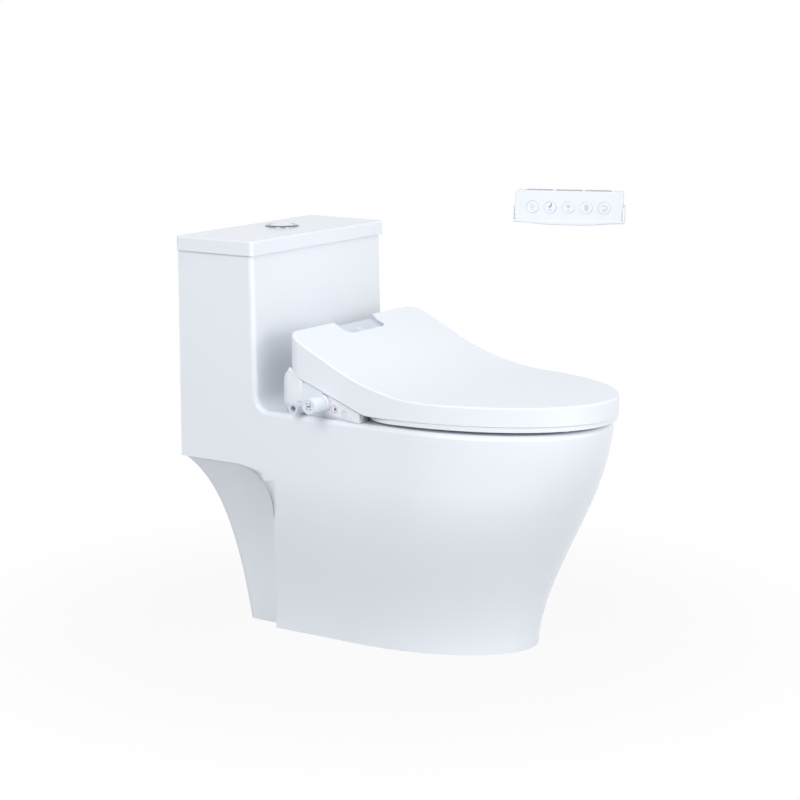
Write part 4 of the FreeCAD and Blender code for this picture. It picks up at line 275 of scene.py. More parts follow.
# ---------------------------------------------------------------- surfaces worked out with numpy
def grid_faces(rows: int, columns: int, round_rows: bool) -> np.ndarray:
    """Number the four-sided faces of a grid of points whose rows are closed rings.

    Args:
        rows: number of rows of points.
        columns: number of points in a row.
        round_rows: whether the last row joins the first.

    Returns:
        An array of four point numbers for each face.
    """
    row = np.arange(rows if round_rows else rows - 1)[:, None]
    column = np.arange(columns)[None, :]
    next_row, next_column = (row + 1) % rows, (column + 1) % columns
    corners = (
        row * columns + column,
        row * columns + next_column,
        next_row * columns + next_column,
        next_row * columns + column,
    )
    return np.stack(corners, axis=-1).reshape(-1, 4)


def shade(mesh: bpy.types.Mesh, angle: float) -> None:
    """Shade a mesh smooth, but for its edges over the angle in degrees."""
    mesh.shade_smooth()
    mesh.set_sharp_from_angle(angle=math.radians(angle))


def surface(
    name: str, points: np.ndarray, round_rows: bool = False, angle: float = CREASE
) -> bpy.types.Mesh:
    """Make a closed mesh from a grid whose rows are closed rings.

    Args:
        name: the mesh's name.
        points: an array of rows, points in a row, and x y z in millimetres.
        round_rows: whether the last ring joins the first; otherwise a face closes each end.
        angle: edges sharper than this many degrees stay sharp.

    Returns:
        The mesh, in metres, its faces turned outwards.
    """
    rows, columns = points.shape[:2]
    faces = grid_faces(rows, columns, round_rows).tolist()
    if not round_rows:
        faces += [list(range(columns))[::-1], list(range((rows - 1) * columns, rows * columns))]
    mesh = bpy.data.meshes.new(name)
    mesh.from_pydata((points.reshape(-1, 3) * MM).tolist(), [], faces)
    work = bmesh.new()
    work.from_mesh(mesh)
    bmesh.ops.remove_doubles(work, verts=work.verts, dist=MERGE)
    bmesh.ops.dissolve_degenerate(work, edges=work.edges, dist=MERGE / 10)
    bmesh.ops.recalc_face_normals(work, faces=work.faces)
    work.to_mesh(mesh)
    work.free()
    shade(mesh, angle)
    return mesh


def joined(name: str, meshes: list[bpy.types.Mesh]) -> bpy.types.Mesh:
    """Put several closed meshes into one.

    Args:
        name: the new mesh's name.
        meshes: the meshes, which are removed.

    Returns:
        The new mesh.
    """
    work = bmesh.new()
    for mesh in meshes:
        work.from_mesh(mesh)
        bpy.data.meshes.remove(mesh)
    whole = bpy.data.meshes.new(name)
    work.to_mesh(whole)
    work.free()
    shade(whole, CREASE)
    return whole


def rounded_line(corners: Sequence[Triple], steps: int = 6) -> np.ndarray:
    """Round a closed outline's corners with arcs.

    Each corner gives way to the circle of its radius that touches both runs: the arc's points are
    the circle's centre plus the radius times the cosine and sine of evenly spaced angles.

    Args:
        corners: the outline's corners, each with its radius, 0 to keep it sharp.
        steps: spans to an arc.

    Returns:
        An array of points, two numbers each.
    """
    points, radii = np.split(np.asarray(corners, float), [2], axis=1)
    runs = []
    for index, radius in enumerate(radii[:, 0]):
        corner, after = points[index], points[(index + 1) % len(points)]
        if radius == 0:
            runs.append(corner[None, :])
            continue
        first, last = points[index - 1] - corner, after - corner
        first, last = first / np.linalg.norm(first), last / np.linalg.norm(last)
        half = math.acos(float(np.clip(first @ last, -1, 1))) / 2
        middle = first + last
        centre = corner + middle / np.linalg.norm(middle) * radius / math.sin(half)
        reach = radius / math.tan(half)
        start, end = corner + first * reach - centre, corner + last * reach - centre
        sweep = math.atan2(start[0] * end[1] - start[1] * end[0], float(start @ end))
        angle = math.atan2(start[1], start[0]) + np.linspace(0, sweep, steps + 1)
        runs.append(centre + radius * np.column_stack([np.cos(angle), np.sin(angle)]))
    return np.concatenate(runs)


def circle(count: int) -> np.ndarray:
    """Pairs of cosine and sine at evenly spaced angles of a whole turn."""
    angle = np.linspace(0, 2 * math.pi, count, endpoint=False)
    return np.column_stack([np.cos(angle), np.sin(angle)])


@dataclass(frozen=True)
class Place:
    """A local frame in millimetres: where it stands and which way its axes point.

    Attributes:
        origin: its origin.
        across: its first axis.
        up: its second axis.
        out: its third axis.
    """

    origin: Triple
    across: Triple = (1, 0, 0)
    up: Triple = (0, 1, 0)
    out: Triple = (0, 0, 1)

    def world(self, local: np.ndarray) -> np.ndarray:
        """Turn and shift local points into the object's frame.

        Args:
            local: an array of points whose last axis is x y z.

        Returns:
            The points in the object's frame.
        """
        axes = np.array([self.across, self.up, self.out], float)
        return local @ axes + np.array(self.origin, float)


def turned(
    name: str, profile: np.ndarray, place: Place, turns: int = 96, closed: bool = False
) -> bpy.types.Mesh:
    """Turn a profile of (radius, height) pairs about the place's third axis.

    A point is radius times the cosine and sine of the angle, at its height.

    Args:
        name: the mesh's name.
        profile: the (radius, height) pairs.
        place: the frame that it stands in.
        turns: points round the axis.
        closed: whether the profile is itself a closed outline, as of a ring.

    Returns:
        The mesh.
    """
    ray = circle(turns)
    radius, height = profile[:, 0][:, None], profile[:, 1][:, None]
    grid = np.stack([radius * ray[:, 0], radius * ray[:, 1], height + 0 * ray[:, 0]], axis=-1)
    return surface(name, place.world(grid), round_rows=closed)


def ribbon(
    name: str, inner: np.ndarray, outer: np.ndarray, depth: Pair, place: Place, closed: bool = False
) -> bpy.types.Mesh:
    """A thin raised mark between two lines of (across, up) pairs.

    At each step along the lines the section is a rectangle from inner to outer line and from
    the lower to the upper depth.

    Args:
        name: the mesh's name.
        inner: one edge.
        outer: the other edge.
        depth: lower and upper height over the place's plane.
        place: the frame that it lies in.
        closed: whether the lines run round in a ring.

    Returns:
        The mesh.
    """
    low, high = (np.full((len(inner), 1), level) for level in depth)
    pairs = (inner, low), (outer, low), (outer, high), (inner, high)
    corners = [np.hstack(pair) for pair in pairs]
    return surface(name, place.world(np.stack(corners, axis=1)), round_rows=closed)


@dataclass(frozen=True)
class Pen:
    """Draws small generic marks as thin raised shapes on a flat face.

    Attributes:
        place: the face's frame.
        depth: lower and upper height of the marks over the face.
        line: half the width of a drawn line.
        steps: points along an arc or a wave.
        point: angle in radians left off the ends of a fading arc, so that they don't close up.
        ring_steps: points round a ring.
        dot_steps: points round a dot.
        lens: share of a dot's radius at its flat top, and share of its height at its rim.
    """

    place: Place
    depth: Pair = (-0.1, 0.12)
    line: float = 0.45
    steps: int = 40
    point: float = 0.02
    ring_steps: int = 64
    dot_steps: int = 24
    lens: Pair = (0.8, 0.6)

    def arc(
        self, centre: Pair, radius: float, start: float, end: float, fade: bool = False
    ) -> bpy.types.Mesh:
        """An arc of a circle; with fade its width swells from nothing and back, as a sine.

        Args:
            centre: its centre.
            radius: its radius.
            start: first angle in degrees.
            end: last angle in degrees.
            fade: whether its ends are pointed.

        Returns:
            The mesh.
        """
        turn = np.radians(np.linspace(start, end, self.steps))
        swell = np.linspace(self.point, math.pi - self.point, self.steps)
        width = self.line * (2 * np.sin(swell) if fade else np.ones(self.steps))
        ray = np.column_stack([np.cos(turn), np.sin(turn)])
        inner = np.array(centre) + ray * (radius - width)[:, None]
        outer = np.array(centre) + ray * (radius + width)[:, None]
        return ribbon("arc", inner, outer, self.depth, self.place)

    def ring(self, centre: Pair, radius: float) -> bpy.types.Mesh:
        """A whole circle of the line's width.

        Args:
            centre: its centre.
            radius: its radius.

        Returns:
            The mesh.
        """
        ray = circle(self.ring_steps)
        inner = np.array(centre) + ray * (radius - self.line)
        outer = np.array(centre) + ray * (radius + self.line)
        return ribbon("ring", inner, outer, self.depth, self.place, closed=True)

    def stroke(self, points: Sequence[Pair], width: float | None = None) -> bpy.types.Mesh:
        """A line through the points, offset to both sides along its own normal.

        Args:
            points: the line's points.
            width: half its width, the pen's own when left out.

        Returns:
            The mesh.
        """
        line = np.asarray(points, float)
        along = np.gradient(line, axis=0)
        along /= np.linalg.norm(along, axis=1, keepdims=True)
        side = np.column_stack([-along[:, 1], along[:, 0]]) * (width or self.line)
        return ribbon("stroke", line - side, line + side, self.depth, self.place)

    def wave(
        self, centre: Pair, length: float, height: float, swings: float, upright: bool = False
    ) -> bpy.types.Mesh:
        """A line that swings as a sine.

        Args:
            centre: its middle.
            length: its length.
            height: its swing to each side.
            swings: how many whole swings.
            upright: whether it runs upwards instead of across.

        Returns:
            The mesh.
        """
        run = np.linspace(-length / 2, length / 2, self.steps)
        swing = height * np.sin(2 * math.pi * swings * (run / length))
        pairs = np.column_stack([swing, run] if upright else [run, swing]) + np.array(centre)
        return self.stroke(pairs)

    def dot(self, centre: Pair, radius: float) -> bpy.types.Mesh:
        """A small filled disc, drawn as a turned lens.

        Args:
            centre: its centre.
            radius: its radius.

        Returns:
            The mesh.
        """
        low, high = self.depth
        top, rim = radius * self.lens[0], high * self.lens[1]
        profile = np.array([(0, low), (radius, low), (radius, rim), (top, high), (0, high)])
        middle = self.place.world(np.array([centre[0], centre[1], 0.0]))
        place = replace(self.place, origin=tuple(middle))
        return turned("dot", profile, place, turns=self.dot_steps)


def add_piece(
    name: str,
    mesh: bpy.types.Mesh,
    body: str,
    slot: str,
    finish: str | None = None,
    replaces: tuple[str, ...] = (),
) -> None:
    """Put a mesh into the scene as a piece of the object.

    Args:
        name: the piece's name.
        mesh: its mesh.
        body: the body that it rides on.
        slot: the record's material slot that it takes its finish from.
        finish: the finish's name where it isn't the slot's own.
        replaces: the carried-over nodes that it stands for.
    """
    mesh.materials.clear()
    mesh.materials.append(material_of(finish or slot))
    item = bpy.data.objects.new(name, mesh)
    bpy.context.scene.collection.objects.link(item)
    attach(item, body)
    if replaces:
        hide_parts(*replaces)
    LOG.info("%s on %s", name, body)


# ---------------------------------------------------------------- drawn marks, in millimetres
BOLD = 0.8  # half the width of the lines on knob and stop button
KNOB_MARK_SINK = 0.25  # how far the marks' plane lies inside the knob's end
KNOB_MARK_DEPTH, STOP_DEPTH, LIGHT_DEPTH = (-0.1, 0.2), (-0.45, 0.02), (-0.4, 0.02)
KNOB_BAR, KNOB_BAR_WIDTH = ((-3.4, -0.5), (-1, -0.15), (1.5, 0.25), (4.2, 0.7)), 0.95
KNOB_DOTS, KNOB_DOT = ((-3.4, -4.4), (-3.4, 4.4), (3.1, -4.4), (3.1, 4.4)), 1.0
STOP_RING = 5.6
STOP_CRESCENT = ((-0.9, 0.4), 3.2, -75, 55)  # centre, radius, first and last angle
LIGHT_ARC = ((0, -0.4), 3.4, 30, 160)
PANEL_DEPTH, PANEL_LINE = (-0.1, 0.08), 0.7
PANEL_WAVES, PANEL_WAVE = (-5, 0, 5), (7.5, 0.8, 1.0)  # places; length, swing and number of swings
PANEL_BAR = ((-7, -6), (-3, -6.4), (3, -6.4), (7, -6))
KEY_DEPTH, KEY_SINK = (-0.1, 0.22), 0.3  # marks on a key, and how far their plane lies inside it
KEY_BAR, KEY_BAR_WIDTH = ((-2.8, -5.0), (-1.0, -5.0), (1.0, -5.0), (2.8, -5.0)), 0.55
THIN, THICK = 0.35, 0.7  # half the width of the lines on the keys
STOP_MARK, STOP_MARK_LINE = ((0, 1.2), 2.6), 0.55  # centre and radius
JET = ((1.6, 6.0), (1.9, 3.6), (0.2, 1.6), (-2.2, 0.2))
JET_DROP = ((1.0, 7.0), 0.9)  # centre and radius
JET_TAIL, JET_TAIL_LINE = ((-2.4, -2.0), (-1.2, -0.9), (0.4, -0.2), (1.2, 0.0)), 0.3
MIST = ((0, 3.4), 8.6, 0.8, 2.0)  # centre, length, swing and number of swings
MIST_FALLS, MIST_FALL = (-1.6, 0.0, 1.6), ((1.0, 1.4), (0.7, 0.2), (0.5, -1.0))  # places; share, up
WARM_WAVES, WARM_WAVE, WARM_UP = (-2.4, 0.0, 2.4), (6.4, 0.7, 1.5), 1.5
WARM_BAR = ((-3.4, -2.6), (-1.0, -2.6), (1.0, -2.6), (3.4, -2.6))
BOTH_WAVE = ((-1.8, 3.8), 6.0, 0.7, 1.5)
BOTH_ARC = ((2.8, 0.6), 2.0, -60, 120)
BOTH_BAR = ((-4.2, -2.6), (-1.4, -2.8), (1.4, -2.8), (4.2, -2.6))


# ---------------------------------------------------------------- sub-assemblies
@dataclass
class FlushControls:
    """The plated ring in the cistern lid.

    Attributes:
        centre: the button's middle, across and back.
        lid_top: height of the cistern lid's top.
        bore: bore of the ring.
        tube: outside radius of its tube.
        rim: outside radius of its rim.
        rise: height of the ring over the lid.
        tube_length: how far the tube reaches into the lid.
        rim_side: height of the rim's upright side, as a share of the rise.
        slope: width of the slope from that side to the ring's top.
        bevel: width and depth of the bevel at the bore.
    """

    centre: Pair = (17, 223)
    lid_top: float = 671.9
    bore: float = 21.3
    tube: float = 24.6
    rim: float = 30
    rise: float = 3
    tube_length: float = 17
    rim_side: float = 0.45
    slope: float = 3.2
    bevel: Pair = (1.6, 1.1)

    def build(self) -> None:
        """Turn the ring's rounded section: tube, rolled rim and bevelled bore."""
        corners = [
            (self.bore, -self.tube_length, 0.3),
            (self.tube, -self.tube_length, 0.3),
            (self.tube, 0, 0),
            (self.rim, 0, 0.2),
            (self.rim, self.rise * self.rim_side, 0.9),
            (self.rim - self.slope, self.rise, 1.6),
            (self.bore + self.bevel[0], self.rise, 0.6),
            (self.bore, self.rise - self.bevel[1], 0.5),
        ]
        place = Place((*self.centre, self.lid_top))
        name = "flush_bezel_skin"
        mesh = turned(name, rounded_line(corners), place, turns=128, closed=True)
        add_piece(name, mesh, "cistern_lid", "chrome_ring", replaces=("flush_bezel",))


@dataclass
class SideControls:
    """Filter knob, threaded nipple and the two buttons on the unit's left side.

    Attributes:
        face_x: the unit's side wall.
        knob_at: the knob's axis, back and up.
        knob_radius: its radius.
        knob_end: how far its end stands from the middle plane.
        collar: radius and width of its collar.
        dish: width of the grip's edge, the same with the slope inside it, and the dish's depth.
        neck: radius of its neck.
        inlet_x: side of the water inlet block, which neck and nipple reach.
        nipple_at: the nipple's axis, back and up.
        nipple: outside radius, bore and thread length of the nipple.
        nipple_end: how far its end stands from the middle plane.
        pitch: pitch of its thread.
        thread: how far the crests stay inside the outside radius, and the thread's depth.
        stop: the stop button's back, up and radius.
        light: the light button's back, up and radius.
        proud: how far the buttons stand out.
        button_length: length of the buttons.
        dome: share of the radius that is domed, and the dome's height.
    """

    face_x: float = -189.7
    knob_at: Pair = (-10, 416)
    knob_radius: float = 13.5
    knob_end: float = -231
    collar: Pair = (15, 6)
    dish: Triple = (2.6, 3.1, 0.45)
    neck: float = 10.4
    inlet_x: float = -172
    nipple_at: Pair = (37, 404)
    nipple: Triple = (10, 5, 17)
    nipple_end: float = -209
    pitch: float = 1.8
    thread: Pair = (0.35, 0.6)
    stop: Triple = (-32, 408, 7)
    light: Triple = (-52, 403, 5.5)
    proud: float = 0.6
    button_length: float = 6
    dome: Pair = (0.9, 0.35)

    def place(self, x: float, back: float, up: float) -> Place:
        """A frame on the left side, its plane at x, whose third axis points away from the unit."""
        return Place((x, back, up), (0, -1, 0), (0, 0, 1), (-1, 0, 0))

    def build(self) -> None:
        """Build the four controls and their marks."""
        self.knob()
        self.threaded_nipple()
        self.button("stop_button", self.stop, "stop_plastic")
        self.button("light_button", self.light, "light_plastic")
        self.marks()

    def knob(self) -> None:
        """Turn the knob: rounded grip with a dished end, collar and neck."""
        radius, (collar, width), (edge, slope, depth) = self.knob_radius, self.collar, self.dish
        gap, short, step = 0.3, 0.2, 0.8
        end = self.face_x - self.knob_end - short
        tail = self.face_x - self.inlet_x + gap
        corners = [
            (0, tail, 0),
            (self.neck, tail, 0.4),
            (self.neck, gap, 0),
            (collar, gap, 0.8),
            (collar, width, 0.9),
            (radius, width + step, 0.5),
            (radius, end, 1.5),
            (radius - edge, end, 0.25),
            (radius - slope, end - depth, 0.2),
            (0, end - depth, 0),
        ]
        name, place = "filter_cap_skin", self.place(self.face_x, *self.knob_at)
        mesh = turned(name, rounded_line(corners), place)
        add_piece(name, mesh, "filter", "knob_plastic", replaces=("filter_cap",))

    def threaded_nipple(self) -> None:
        """Nipple whose thread is a helix.

        The outside radius is the nipple's own less a cosine of (height over pitch plus angle over a
        turn), which fades out at the thread's ends; the bore closes the tube.
        """
        outside, bore, threaded = self.nipple
        crest, depth = self.thread
        length = self.inlet_x - self.nipple_end
        foot_run, end_run, along, around = 1.5, 0.8, 190, 72
        height = np.linspace(0, length, along)[:, None]
        angle = np.linspace(0, 2 * math.pi, around, endpoint=False)[None, :]
        foot, end = (threaded - (length - height)) / foot_run, (length - height) / end_run
        window = np.clip(foot, 0, 1) * np.clip(end, 0, 1)
        swing = 0.5 + 0.5 * np.cos(2 * math.pi * (height / self.pitch) + angle)
        outer = outside - crest - depth * window * swing
        radius = np.vstack([outer, np.full((2, angle.size), bore)])
        height = np.vstack([height, [[length], [0.0]]]) + 0 * angle
        grid = np.stack([radius * np.cos(angle), radius * np.sin(angle), height], axis=-1)
        name = "inlet_nipple_skin"
        place = self.place(self.inlet_x, *self.nipple_at)
        mesh = surface(name, place.world(grid), round_rows=True, angle=50)
        add_piece(name, mesh, "toilet", "nipple_plastic", replaces=("inlet_nipple",))

    def button(self, node: str, size: Triple, slot: str) -> None:
        """Turn a side button with a rounded edge and a slightly domed face.

        The face's height falls with the square of the distance from its middle.

        Args:
            node: the node that it stands for, also its body.
            size: back, up and radius.
            slot: its material slot.
        """
        back, up, radius = size
        rim, dome = self.dome
        share = np.linspace(rim, 0, 10)
        face = np.column_stack([radius * share, self.proud - dome * share**2])
        tail = self.proud - self.button_length
        edge = [(radius, self.proud - 1.0), (radius * 0.985, self.proud - 0.6)]
        profile = np.concatenate([[(0, tail), (radius, tail)], edge, face])
        place = self.place(self.face_x, back, up)
        mesh = turned(node + "_skin", profile, place, turns=64)
        add_piece(node + "_skin", mesh, node, slot, replaces=(node,))

    def marks(self) -> None:
        """Draw the knob's bar and dots, the stop button's ring and crescent and the light's arc."""
        end = self.knob_end + KNOB_MARK_SINK
        knob = Pen(self.place(end, *self.knob_at), KNOB_MARK_DEPTH, BOLD)
        strokes = [knob.stroke(KNOB_BAR, KNOB_BAR_WIDTH)]
        strokes += [knob.dot(centre, KNOB_DOT) for centre in KNOB_DOTS]
        bar = joined("knob_marks", strokes)
        add_piece("knob_marks", bar, "filter", "knob_plastic", "mark_grey")
        face = self.face_x - self.proud
        stop = Pen(self.place(face, *self.stop[:2]), STOP_DEPTH, BOLD)
        ring, crescent = stop.ring((0, 0), STOP_RING), stop.arc(*STOP_CRESCENT, fade=True)
        add_piece("stop_ring", ring, "stop_button", "stop_plastic", "mark_pink")
        add_piece("stop_crescent", crescent, "stop_button", "stop_plastic", "mark_grey")
        light = Pen(self.place(face, *self.light[:2]), LIGHT_DEPTH)
        arc = light.arc(*LIGHT_ARC)
        add_piece("light_arc", arc, "light_button", "light_plastic", "mark_pale")


@dataclass
class PanelGlyph:
    """Small pale mark on the grey panel: three upright waves over a bar.

    Attributes:
        middle: the mark's middle, across and back.
        front: the panel's front edge, back and up.
        rear: its rear edge, back and up.
    """

    middle: Pair = (-3, 47)
    front: Pair = (30, 504)
    rear: Pair = (66, 516.5)

    def build(self) -> None:
        """Draw the mark on the panel's slope."""
        run, rise = self.rear[0] - self.front[0], self.rear[1] - self.front[1]
        length = math.hypot(run, rise)
        x, back = self.middle
        up = self.front[1] + (back - self.front[0]) * rise / run
        slope, square = (0, run / length, rise / length), (0, -rise / length, run / length)
        pen = Pen(Place((x, back, up), (1, 0, 0), slope, square), PANEL_DEPTH, PANEL_LINE)
        strokes = [pen.wave((across, 0), *PANEL_WAVE, upright=True) for across in PANEL_WAVES]
        strokes.append(pen.stroke(PANEL_BAR))
        mark = joined("panel_mark", strokes)
        add_piece("panel_mark", mark, "toilet", "panel_grey", "mark_white")


@dataclass
class Remote:
    """Round keys, their marks, the flat keys and the wall cradle of the remote.

    Attributes:
        middle: the remote's middle.
        turn: its turn about the upright, in degrees.
        half: half its width and half its height.
        front: how far its face stands before its middle plane.
        back: how far its back stands behind.
        key_radius: radius of the round keys.
        key_pitch: distance between them.
        key_up: their height over the middle.
        proud: how far the keys stand out.
        key_depth: length of a round key.
        key_face: share of a key's radius that is dished, its depth at the middle, and its rise.
        key_groove: share of the radius at the groove's two sides, and its depth.
        top_key: width, front edge and rear edge of a flat key.
        top_pitch: distance between the flat keys.
        gap: gap round the remote in its cradle.
        wall: the cradle's thickness.
        sag: how far the cradle's lower edge hangs lower in the middle.
        plate: height of the cradle's back plate, in thicknesses of its wall.
        ear_up: height of an ear's front edge over the cradle's floor, and its set-back.
    """

    middle: Triple = (250, -219, 713)
    turn: float = -68.2
    half: Pair = (93, 26)
    front: float = 12
    back: float = 10
    key_radius: float = 10.5
    key_pitch: float = 31
    key_up: float = -2.08
    proud: float = 1.5
    key_depth: float = 4
    key_face: Triple = (0.86, 0.3, 0.15)
    key_groove: Triple = (0.93, 0.9, 0.45)
    top_key: Triple = (44, -9.5, -0.5)
    top_pitch: float = 50
    gap: float = 0.3
    wall: float = 2.5
    sag: float = 4
    plate: float = 11
    ear_up: Pair = (24, 2)

    def frame(self, across: float = 0, forward: float = 0, up: float = 0) -> Place:
        """A frame on the remote: across, up, and out towards the room.

        Args:
            across: its origin along the remote's width.
            forward: its origin towards the room.
            up: its origin's height over the middle.

        Returns:
            The frame.
        """
        angle = math.radians(self.turn)
        along, out = (math.cos(angle), math.sin(angle), 0), (math.sin(angle), -math.cos(angle), 0)
        x, y, z = self.middle
        x += along[0] * across + out[0] * forward
        y += along[1] * across + out[1] * forward
        return Place((x, y, z + up), along, (0, 0, 1), out)

    def build(self) -> None:
        """Build the keys, their marks and the cradle."""
        for number in range(1, 6):
            self.round_key(number)
        for number in range(1, 4):
            self.flat_key(number)
        self.marks()
        self.cradle()

    def round_key(self, number: int) -> None:
        """Turn a round key with a fine groove inside its rim and a slightly dished face.

        The face's height rises with the square of the distance from its middle.

        Args:
            number: which key, from 1.
        """
        radius, top = self.key_radius, self.front + self.proud
        rim, dish, rise = self.key_face
        share = np.linspace(rim, 0, 9)
        face = np.column_stack([radius * share, top - dish + rise * share**2])
        outer, inner, groove = self.key_groove
        foot = top - self.key_depth
        corners = [
            (radius, foot, 0),
            (radius, top, 0.45),
            (radius * outer, top, 0.15),
            (radius * inner, top - groove, 0.1),
        ]
        profile = np.concatenate([[(0, foot)], rounded_line(corners), face])
        place = self.frame((number - 3) * self.key_pitch, 0, self.key_up)
        node = f"remote_key_{number}"
        mesh = turned(node + "_skin", profile, place, turns=72)
        add_piece(node + "_skin", mesh, node, "key_plastic", replaces=(node,))

    def flat_key(self, number: int) -> None:
        """A flat key on the top edge: rings of a rounded rectangle, drawn in towards its top.

        Args:
            number: which key, from 1.
        """
        width, near, far = self.top_key
        low, high = self.half[1] - self.wall, self.half[1] + self.proud
        corner, least = 1.6, 0.4
        rings = []
        for inset, below in ((0, high - low), (0, 0.8), (0.25, 0.25), (0.8, 0), (2.2, 0.2)):
            x, front, rear = width / 2 - inset, near + inset, far - inset
            turn = max(corner - inset, least)
            sides = ((-x, front), (x, front), (x, rear), (-x, rear))
            line = rounded_line([(*side, turn) for side in sides])
            height = np.full(len(line), high - below)
            rings.append(np.column_stack([line[:, 0], height, -line[:, 1]]))
        place = self.frame((number - 2) * self.top_pitch)
        node = f"remote_top_key_{number}"
        mesh = surface(node + "_skin", place.world(np.stack(rings)))
        add_piece(node + "_skin", mesh, node, "key_grey", replaces=(node,))

    def pen(self, number: int, line: float) -> Pen:
        """A pen on the face of a round key.

        Args:
            number: which key, from 1.
            line: half the width of its line.

        Returns:
            The pen.
        """
        out = self.front + self.proud - KEY_SINK
        return Pen(self.frame((number - 3) * self.key_pitch, out, self.key_up), KEY_DEPTH, line)

    def marks(self) -> None:
        """Draw a generic mark on each round key: stop ring, jets, mist, warm air and both."""
        rear, front, warm, both = (
            self.pen(number, line) for number, line in ((2, THICK), (3, THIN), (4, THIN), (5, THIN))
        )
        tail = self.pen(2, JET_TAIL_LINE)
        falls = [[(across * share, up) for share, up in MIST_FALL] for across in MIST_FALLS]
        warm_air = [warm.wave((at, WARM_UP), *WARM_WAVE, upright=True) for at in WARM_WAVES]
        drawn = (
            ("mark_pink", [self.pen(1, STOP_MARK_LINE).ring(*STOP_MARK)]),
            ("mark_grey", [rear.stroke(JET), rear.dot(*JET_DROP), tail.stroke(JET_TAIL)]),
            ("mark_pale", [front.wave(*MIST), *(front.stroke(fall) for fall in falls)]),
            ("mark_pale", [*warm_air, warm.stroke(WARM_BAR)]),
            ("mark_pale", [both.wave(*BOTH_WAVE), both.arc(*BOTH_ARC), both.stroke(BOTH_BAR)]),
        )
        for number in range(1, 6):
            bar = self.pen(number, KEY_BAR_WIDTH).stroke(KEY_BAR)
            add_piece(f"key_bar_{number}", bar, f"remote_key_{number}", "key_plastic", "mark_faint")
        for number, (finish, strokes) in enumerate(drawn, 1):
            mark = joined(f"key_mark_{number}", strokes)
            add_piece(f"key_mark_{number}", mark, f"remote_key_{number}", "key_plastic", finish)

    def channel(self, near: float, far: float, floor: float, reach: float) -> bpy.types.Mesh:
        """The cradle's channel: back plate, floor and front lip, carried along the width.

        The two lower corners hang lower by the sag times a smooth step from each end, and all
        their rounded points move down with them.

        Args:
            near: front side of the lip.
            far: rear side of the back plate.
            floor: height of the channel's floor inside.
            reach: half the cradle's width.

        Returns:
            The mesh.
        """
        wall, steps, stations, inset, run = self.wall, 4, 121, 0.2, 0.75
        top, bottom, lip = floor + wall * self.plate, floor - wall, floor + wall
        corners = [
            (far, top, 0.6),
            (far, bottom, 0.8),
            (near, bottom, 2.4),
            (near, lip, 0.8),
            (near + wall, lip, 0.8),
            (near + wall, floor, 0.5),
            (far - wall, floor, 0.5),
            (far - wall, top, 0.6),
        ]
        section = rounded_line(corners, steps)
        lower = np.repeat([0, 1, 1, 0, 0, 0, 0, 0], steps + 1)
        across = np.linspace(-reach + inset, reach - inset, stations)[:, None]
        share = np.clip((1 - np.abs(across) / reach) / run, 0, 1)
        up = section[:, 1] - lower * self.sag * share**2 * (3 - 2 * share)
        grid = np.stack([across + 0 * up, up, -section[:, 0] + 0 * up], axis=-1)
        return surface("channel", self.frame().world(grid))

    def ear(self, outline: np.ndarray, reach: float, side: int) -> bpy.types.Mesh:
        """An ear at the cradle's end: its outline in rings, drawn in towards the outside.

        Args:
            outline: its (forward, up) points.
            reach: half the cradle's width.
            side: -1 or 1, the end that it stands at.

        Returns:
            The mesh.
        """
        inset, inside = np.array([(0, self.wall), (0, 0.9), (0.35, 0.25), (0.9, 0)]).T
        middle, half_size = outline.mean(axis=0), 14
        line = middle + (outline - middle) * (1 - inset / half_size)[:, None, None]
        across = (reach - inside)[:, None] * side + 0 * line[..., 0]
        grid = np.stack([across, line[..., 1], -line[..., 0]], axis=-1)
        return surface("ear", self.frame().world(grid))

    def cradle(self) -> None:
        """Wall cradle: a channel with an ear at each end."""
        room = self.gap + self.wall
        near, far, reach = -(self.front + room), self.back + room, self.half[0] + room
        floor = -self.half[1] - self.gap
        low, top, (up, setback) = floor - self.wall, floor + self.wall * self.plate, self.ear_up
        corners = [(near, low, 3), (far, low, 1.5), (far, top, 1.5)]
        outline = rounded_line([*corners, (near + setback, floor + up, 7)], 8)
        shells = [self.channel(near, far, floor, reach)]
        shells += [self.ear(outline, reach, side) for side in (-1, 1)]
        name = "remote_cradle_skin"
        mesh = joined(name, shells)
        add_piece(name, mesh, "toilet", "remote_white", replaces=("remote_cradle",))


# ---------------------------------------------------------------- smooth copies of curved nodes
@dataclass
class SmoothCopy:
    """A merged copy of a carried-over node, shaded smooth across its curved faces.

    Attributes:
        node: the node that the copy stands for.
        body: the body that it moves with.
        angle: edges sharper than this many degrees stay sharp.
        weight: how strongly large faces pull the shading, for the weighted normals.
    """

    node: str
    body: str
    angle: float = 28.0
    weight: int = 90

    def build(self) -> None:
        """Merge and shade the copy, put it into the scene on its body, and hide the node."""
        mesh = frame["nodes"][self.node].data.copy()
        mesh.name = self.node + "_skin"
        work = bmesh.new()
        work.from_mesh(mesh)
        bmesh.ops.remove_doubles(work, verts=work.verts, dist=MERGE_COPY)
        work.to_mesh(mesh)
        work.free()
        shade(mesh, self.angle)
        self.crease(mesh)
        item = bpy.data.objects.new(mesh.name, mesh)
        bpy.context.scene.collection.objects.link(item)
        weigh = item.modifiers.new("weigh", "WEIGHTED_NORMAL")
        weigh.keep_sharp = True
        weigh.weight = self.weight
        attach(item, self.body)
        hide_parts(self.node)
        LOG.info("%s: smooth copy of %s", item.name, self.node)

    def crease(self, mesh: bpy.types.Mesh) -> None:
        """Mark further edges of the copy as sharp; a plain copy has none.

        Args:
            mesh: the copy's mesh.
        """


